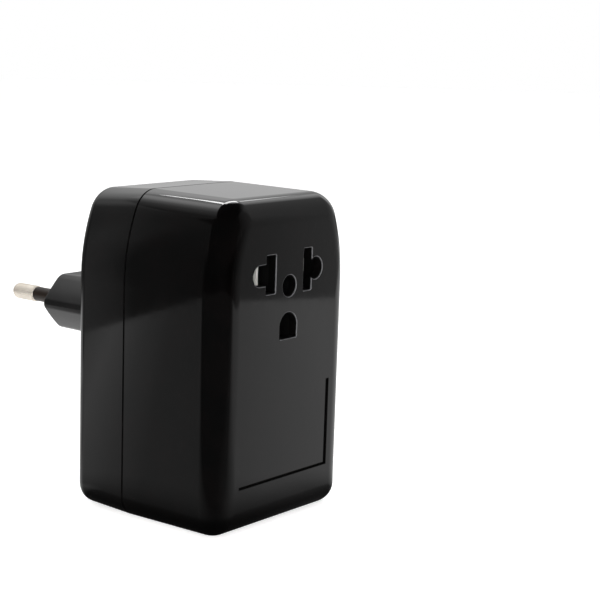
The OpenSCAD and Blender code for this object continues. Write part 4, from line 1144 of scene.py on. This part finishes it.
right = Vector((math.cos(VIEW_AZIMUTH), math.sin(VIEW_AZIMUTH), 0))
towards = Vector((
    math.sin(VIEW_AZIMUTH) * math.cos(VIEW_ELEVATION),
    -math.cos(VIEW_AZIMUTH) * math.cos(VIEW_ELEVATION),
    math.sin(VIEW_ELEVATION),
))
above = towards.cross(right)
rolled_right = right * math.cos(VIEW_ROLL) + above * math.sin(VIEW_ROLL)
rolled_up = above * math.cos(VIEW_ROLL) - right * math.sin(VIEW_ROLL)
lens = bpy.data.cameras.new("camera")
lens.sensor_width = SENSOR
lens.lens = LENS
lens.shift_x, lens.shift_y = SHIFT
lens.clip_start = CLIP_START
camera = placed("camera", lens)
axes = Matrix((rolled_right, rolled_up, towards)).transposed().to_4x4()
camera.matrix_world = Matrix.Translation(VIEW_TARGET + towards * VIEW_DISTANCE) @ axes
bpy.context.scene.camera = camera


# Studio: pale floor, white surround, cards that the gloss mirrors, and soft lamps

WORLD_LIGHT = 0.35
SEEN_LEVEL = 1.0
FLOOR_TONE = (0.8, 0.8, 0.8, 1)
FLOOR_ROUGH = 0.9
FLOOR_GLOW = 0.66


def stage_mesh(name, points, faces, material):
    mesh = bpy.data.meshes.new(name)
    mesh.from_pydata(points, [], faces)
    mesh.materials.append(material)
    piece = placed(name, mesh)
    return piece


def seen_rays(tree):
    """1 for camera, glossy and transmission rays, which see the white surround."""
    path = new_node(tree, "ShaderNodeLightPath", {})
    total = path.outputs["Is Camera Ray"]
    for name in ("Is Glossy Ray", "Is Transmission Ray"):
        either = new_node(tree, "ShaderNodeMath", {0: total, 1: path.outputs[name]}, operation="MAXIMUM")
        total = either.outputs["Value"]
    return total


def world():
    """White surround where it is seen, which lights the part less."""
    surround = bpy.data.worlds.new("surround")
    surround.use_nodes = True
    tree = surround.node_tree
    background = tree.nodes["Background"]
    feed(tree, background.inputs["Color"], WHITE)
    inputs = {"Value": seen_rays(tree), "To Min": WORLD_LIGHT, "To Max": SEEN_LEVEL}
    level = new_node(tree, "ShaderNodeMapRange", inputs)
    feed(tree, background.inputs["Strength"], level.outputs["Result"])
    bpy.context.scene.world = surround


def floor_finish():
    """White sheet that keeps the soft shadow of what stands on it."""
    finish = Finish("floor_white")
    finish.give("Roughness", FLOOR_ROUGH)
    finish.give("Base Color", FLOOR_TONE)
    finish.give("Emission Color", WHITE)
    finish.give("Emission Strength", finish.spread(seen_rays(finish.tree), 0, FLOOR_GLOW, 0, 1))
    return finish.material


def card_finish(name, levels):
    """Card that glows by a level, which a function works out from the place on it."""
    finish = Finish(name)
    finish.give("Base Color", BLACK)
    finish.give("Roughness", 1.0)
    finish.give("Specular IOR Level", 0.0)
    finish.give("Emission Color", WHITE)
    finish.give("Emission Strength", levels(finish))
    return finish.material


# Levels of the cards, which paint the light and shade that the gloss mirrors, against the distance in
# metres across the rays that the front and the side mirror
LEFT_FLOOR_LEVELS = [
    (-0.05, 0.05), (-0.028, 0.25), (-0.0095, 0.28), (0.0, 0.44), (0.012, 0.75), (0.03, 0.4),
    (0.042, 0.55), (0.056, 0.88), (0.066, 0.85), (0.08, 0.2),
]
RIGHT_FLOOR_LEVELS = [(-0.023, 0.55), (0.0074, 0.8)]
BACK_SIDE_LEVELS = [(-0.07, 0.03), (0.006, 0.085), (0.011, 0.19), (0.023, 0.32), (0.036, 0.2)]
BACK_BASE_LEVELS = BACK_SIDE_LEVELS + [(0.06, 0.14), (0.08, 1.05)]
BACK_FOOT_LEVELS = BACK_SIDE_LEVELS + [(0.06, 0.14)]
BACK_WALL_LEVELS = BACK_SIDE_LEVELS + [
    (0.078, 0.12), (0.086, 0.36), (0.094, 0.45), (0.11, 0.55), (0.125, 0.55), (0.14, 0.7), (0.2, 0.74),
]
BACK_TOP_LEVELS = [
    (0.0, 0.09), (0.02, 0.14), (0.042, 0.35), (0.062, 0.75), (0.079, 0.75), (0.086, 1.1), (0.1, 1.5),
    (0.125, 1.7), (0.16, 1.45), (0.185, 0.85), (0.205, 0.7),
]
FRONT_WALL_LEVELS = [(-0.34, 0.0), (-0.22, 0.06), (-0.12, 0.18), (-0.018, 0.22), (0.018, 0.34)]
FRONT_UPPER_LEVELS = [(-0.34, 0.03), (-0.26, 0.1), (-0.12, 0.18), (-0.018, 0.22), (0.018, 0.34)]
# Dark glow of the cards on the camera's side and of the ceiling: painted shade in the reflections
DARK_LEVELS = [(-0.1, 0.01), (0.1, 0.03)]
DARK_UPPER_LEVELS = [(-0.1, 0.02), (0.1, 0.04)]
# Levels of the far card against the height in metres, and shares by which a wall's levels change with it
FAR_LEVELS = [(0.22, 1.5), (0.3, 1.3), (0.5, 0.36)]
BASE_BLEND = [(0.025, 0.0), (0.033, 1.0)]
FOOT_BLEND = [(0.06, 0.0), (0.085, 1.0)]
UPPER_BLEND = [(0.085, 0.0), (0.11, 1.0)]
TOP_BLEND = [(0.125, 0.0), (0.185, 1.0)]
# Levels of the sky along X
SKY_LEVELS = [(-0.4, 0.15), (-0.2, 0.45), (-0.1, 1.0), (-0.03, 1.9), (0.04, 2.1), (0.1, 1.2), (0.3, 1.0)]
# Levels of the floor behind the part along X, and shares of them along Y
BEHIND_X_LEVELS = [(-0.045, 0.0), (-0.03, 0.92)]
BEHIND_Y_LEVELS = [(0.026, 0.0), (0.036, 1.0)]
# Shares of the floor's level against the distance from the part's foot, a painted contact shadow that the
# gloss mirrors
FOOT_SHADE_LEVELS = [(0.0, 0.06), (0.008, 0.25), (0.02, 0.8), (0.028, 1.0)]
# Shares along the rays: from the left floor to the right one, and from the dark ceiling to the pale one
SIDE_BLEND = [(-0.01, 0.0), (0.01, 1.0)]
CEILING_BLEND = [(0.2, 0.0), (0.36, 1.0)]
# Shares of the right floor's level across the rays, by a line that leans along them
BAND_BLEND = [(-0.1, 0.1), (-0.045, 0.22), (-0.015, 0.65), (0.02, 1.0)]
BAND_LEAN = 0.85

# Places of floor, cards and strips in metres. A strip has its name, ends, width and level
FLOOR_R = 3.0
FLOOR_STEPS = 96
CARD_Z = 0.0004
CARD_CORNERS = [(-0.5, 0.247), (0.6185, 0.012), (-0.2, -0.479), (-0.5, -0.479)]
LEFT_CARD_END = (-0.5, 0.5)
FAR_CARD_START = (0.26, 0.087)
SKY_FAR_Y = 0.9
BACK_WALL_H = 0.21
CEILING_Z = 0.5
STRIP_Z = 0.49
STRIPS = [
    ("crown_strip", (0.205, 0.38), (0.095, 0.28), 0.03, 9),
    ("crown_back_strip", (0.195, 0.365), (0.17, 0.412), 0.03, 9),
    ("corner_strip", (0.12, 0.26), (0.4, 0.19), 0.12, 8),
]
STAGE_HALF = 1.2
CEILING_EDGE = [(STAGE_HALF, 0), (0.55, 0.03), (0.16, 0.1), (0.07, 0.3), (-STAGE_HALF, 0.3)]
CEILING = CEILING_EDGE + [(-STAGE_HALF, -STAGE_HALF), (STAGE_HALF, -STAGE_HALF)]
SKY = list(reversed(CEILING_EDGE)) + [(STAGE_HALF, SKY_FAR_Y), (-STAGE_HALF, SKY_FAR_Y)]

# Lamps, by place, aim and size in metres, and power in watts
TOP_LAMP = ((0.1, 0.1, 0.9), (0, 0, 0.03), (0.9, 0.9), 4.0)
BACK_LAMP = ((0.4, 0.4, 0.56), (0, 0, 0.07), (0.5, 0.5), 1.6)
FILL_LAMP = ((-0.35, -0.28, 0.16), (0, 0, 0.055), (0.3, 0.3), 2.4)

# Directions that the levels follow
camera_side = Vector((towards.x, towards.y, 0)).normalized()
mirrored_rays = Vector((-camera_side.x, camera_side.y, 0))
across_rays = Vector((-camera_side.y, -camera_side.x, 0))
sideways = Vector((1, 0, 0))
backwards = Vector((0, 1, 0))
upwards = Vector((0, 0, 1))


def floor_levels(finish):
    side = finish.along(across_rays)
    left = finish.ramp(side, LEFT_FLOOR_LEVELS)
    lean = finish.along(across_rays + mirrored_rays * BAND_LEAN)
    share = finish.ramp(lean, BAND_BLEND)
    right = finish.combined("MULTIPLY", finish.ramp(side, RIGHT_FLOOR_LEVELS), share)
    level = finish.blended(finish.ramp(finish.along(mirrored_rays), SIDE_BLEND), left, right)
    middle = Vector((0, (FRONT_Y + BACK_Y) / 2, 0)) * MM
    half = Vector((HALF_W, (BACK_Y - FRONT_Y) / 2, PAST)) * MM
    # Painted contact shadow: the floor card's glow darkens near the part's foot
    level = finish.combined("MULTIPLY", level, finish.ramp(finish.outside(middle, half), FOOT_SHADE_LEVELS))
    behind_x = finish.ramp(finish.along(sideways), BEHIND_X_LEVELS)
    behind_y = finish.ramp(finish.along(backwards), BEHIND_Y_LEVELS)
    return finish.combined("MAXIMUM", level, finish.combined("MULTIPLY", behind_x, behind_y))


def wall_levels(low, high):
    """Levels that change with the height from a low list to a high one."""
    def levels(finish):
        side = finish.along(across_rays)
        share = finish.ramp(finish.along(upwards), UPPER_BLEND)
        return finish.blended(share, finish.ramp(side, low), finish.ramp(side, high))
    return levels


def back_wall_levels(finish):
    """Levels that change with the height, from the base of the back wall to its top."""
    height = finish.along(upwards)
    side = finish.along(across_rays)
    level = finish.ramp(side, BACK_BASE_LEVELS)
    for blend, stops in (
        (BASE_BLEND, BACK_FOOT_LEVELS), (FOOT_BLEND, BACK_WALL_LEVELS), (TOP_BLEND, BACK_TOP_LEVELS),
    ):
        level = finish.blended(finish.ramp(height, blend), level, finish.ramp(side, stops))
    return level


def far_levels(finish):
    return finish.ramp(finish.along(upwards), FAR_LEVELS)


def sky_levels(finish):
    return finish.ramp(finish.along(sideways), SKY_LEVELS)


def ceiling_levels(finish):
    share = finish.ramp(finish.along(mirrored_rays), CEILING_BLEND)
    side = finish.along(across_rays)
    return finish.blended(share, finish.ramp(side, DARK_LEVELS), finish.ramp(side, FRONT_WALL_LEVELS))


def card(name, points, levels):
    """Card that only the gloss of the part sees; its glow paints light and shade into the part's
    reflections.
    """
    piece = stage_mesh(name, points, [tuple(range(len(points)))], card_finish(name, levels))
    piece.visible_camera = False
    piece.visible_diffuse = False
    piece.visible_shadow = False
    piece.visible_transmission = False


def wall(name, start, end, low, high, levels):
    card(name, [(*start, low), (*end, low), (*end, high), (*start, high)], levels)


rim = [(x, y, 0) for x, y in circle(FLOOR_R, steps=FLOOR_STEPS)]
stage_mesh("floor", rim, [tuple(range(FLOOR_STEPS))], floor_finish())

left_corner, back_corner, front_corner, camera_corner = CARD_CORNERS
card("floor_card", [(x, y, CARD_Z) for x, y in CARD_CORNERS], floor_levels)
front_levels = wall_levels(FRONT_WALL_LEVELS, FRONT_UPPER_LEVELS)
dark_levels = wall_levels(DARK_LEVELS, DARK_UPPER_LEVELS)
wall("back_card", left_corner, back_corner, CARD_Z, BACK_WALL_H, back_wall_levels)
wall("far_card", FAR_CARD_START, back_corner, BACK_WALL_H, CEILING_Z, far_levels)
wall("front_card", back_corner, front_corner, CARD_Z, CEILING_Z, front_levels)
wall("camera_card", front_corner, camera_corner, CARD_Z, CEILING_Z, dark_levels)
wall("left_card", camera_corner, LEFT_CARD_END, CARD_Z, CEILING_Z, dark_levels)
card("ceiling_card", [(x, y, CEILING_Z) for x, y in CEILING], ceiling_levels)
card("sky_card", [(x, y, CEILING_Z) for x, y in SKY], sky_levels)


def lamp(name, place, aim, size, power, spin=0.0):
    """Lamp that points from a place to an aim, turned about that line by a spin."""
    light = bpy.data.lights.new(name, "AREA")
    light.shape = "RECTANGLE"
    light.size, light.size_y = size
    light.energy = power
    holder = placed(name, light)
    facing = (Vector(aim) - Vector(place)).to_track_quat("-Z", "Y").to_matrix().to_4x4()
    holder.matrix_world = Matrix.Translation(place) @ facing @ Matrix.Rotation(spin, 4, "Z")
    return holder


def strip(name, start, end, width, level):
    """Narrow lamp under the ceiling that only the gloss sees, from one end to the other, by its level."""
    run = end - start
    place = (start + end) / 2
    size = (width, run.length)
    power = level * math.pi * width * run.length
    holder = lamp(name, (*place, STRIP_Z), (*place, 0), size, power, math.atan2(-run.x, run.y))
    holder.visible_diffuse = False


top_lamp = lamp("top_lamp", *TOP_LAMP)
back_lamp = lamp("back_lamp", *BACK_LAMP)
back_lamp.visible_diffuse = False
for name, start, end, width, level in STRIPS:
    strip(name, Vector(start), Vector(end), width, level)
fill_lamp = lamp("fill_lamp", *FILL_LAMP)
for soft_lamp in (top_lamp, fill_lamp):
    soft_lamp.visible_glossy = False

world()

bpy.context.scene.view_settings.view_transform = "Standard"
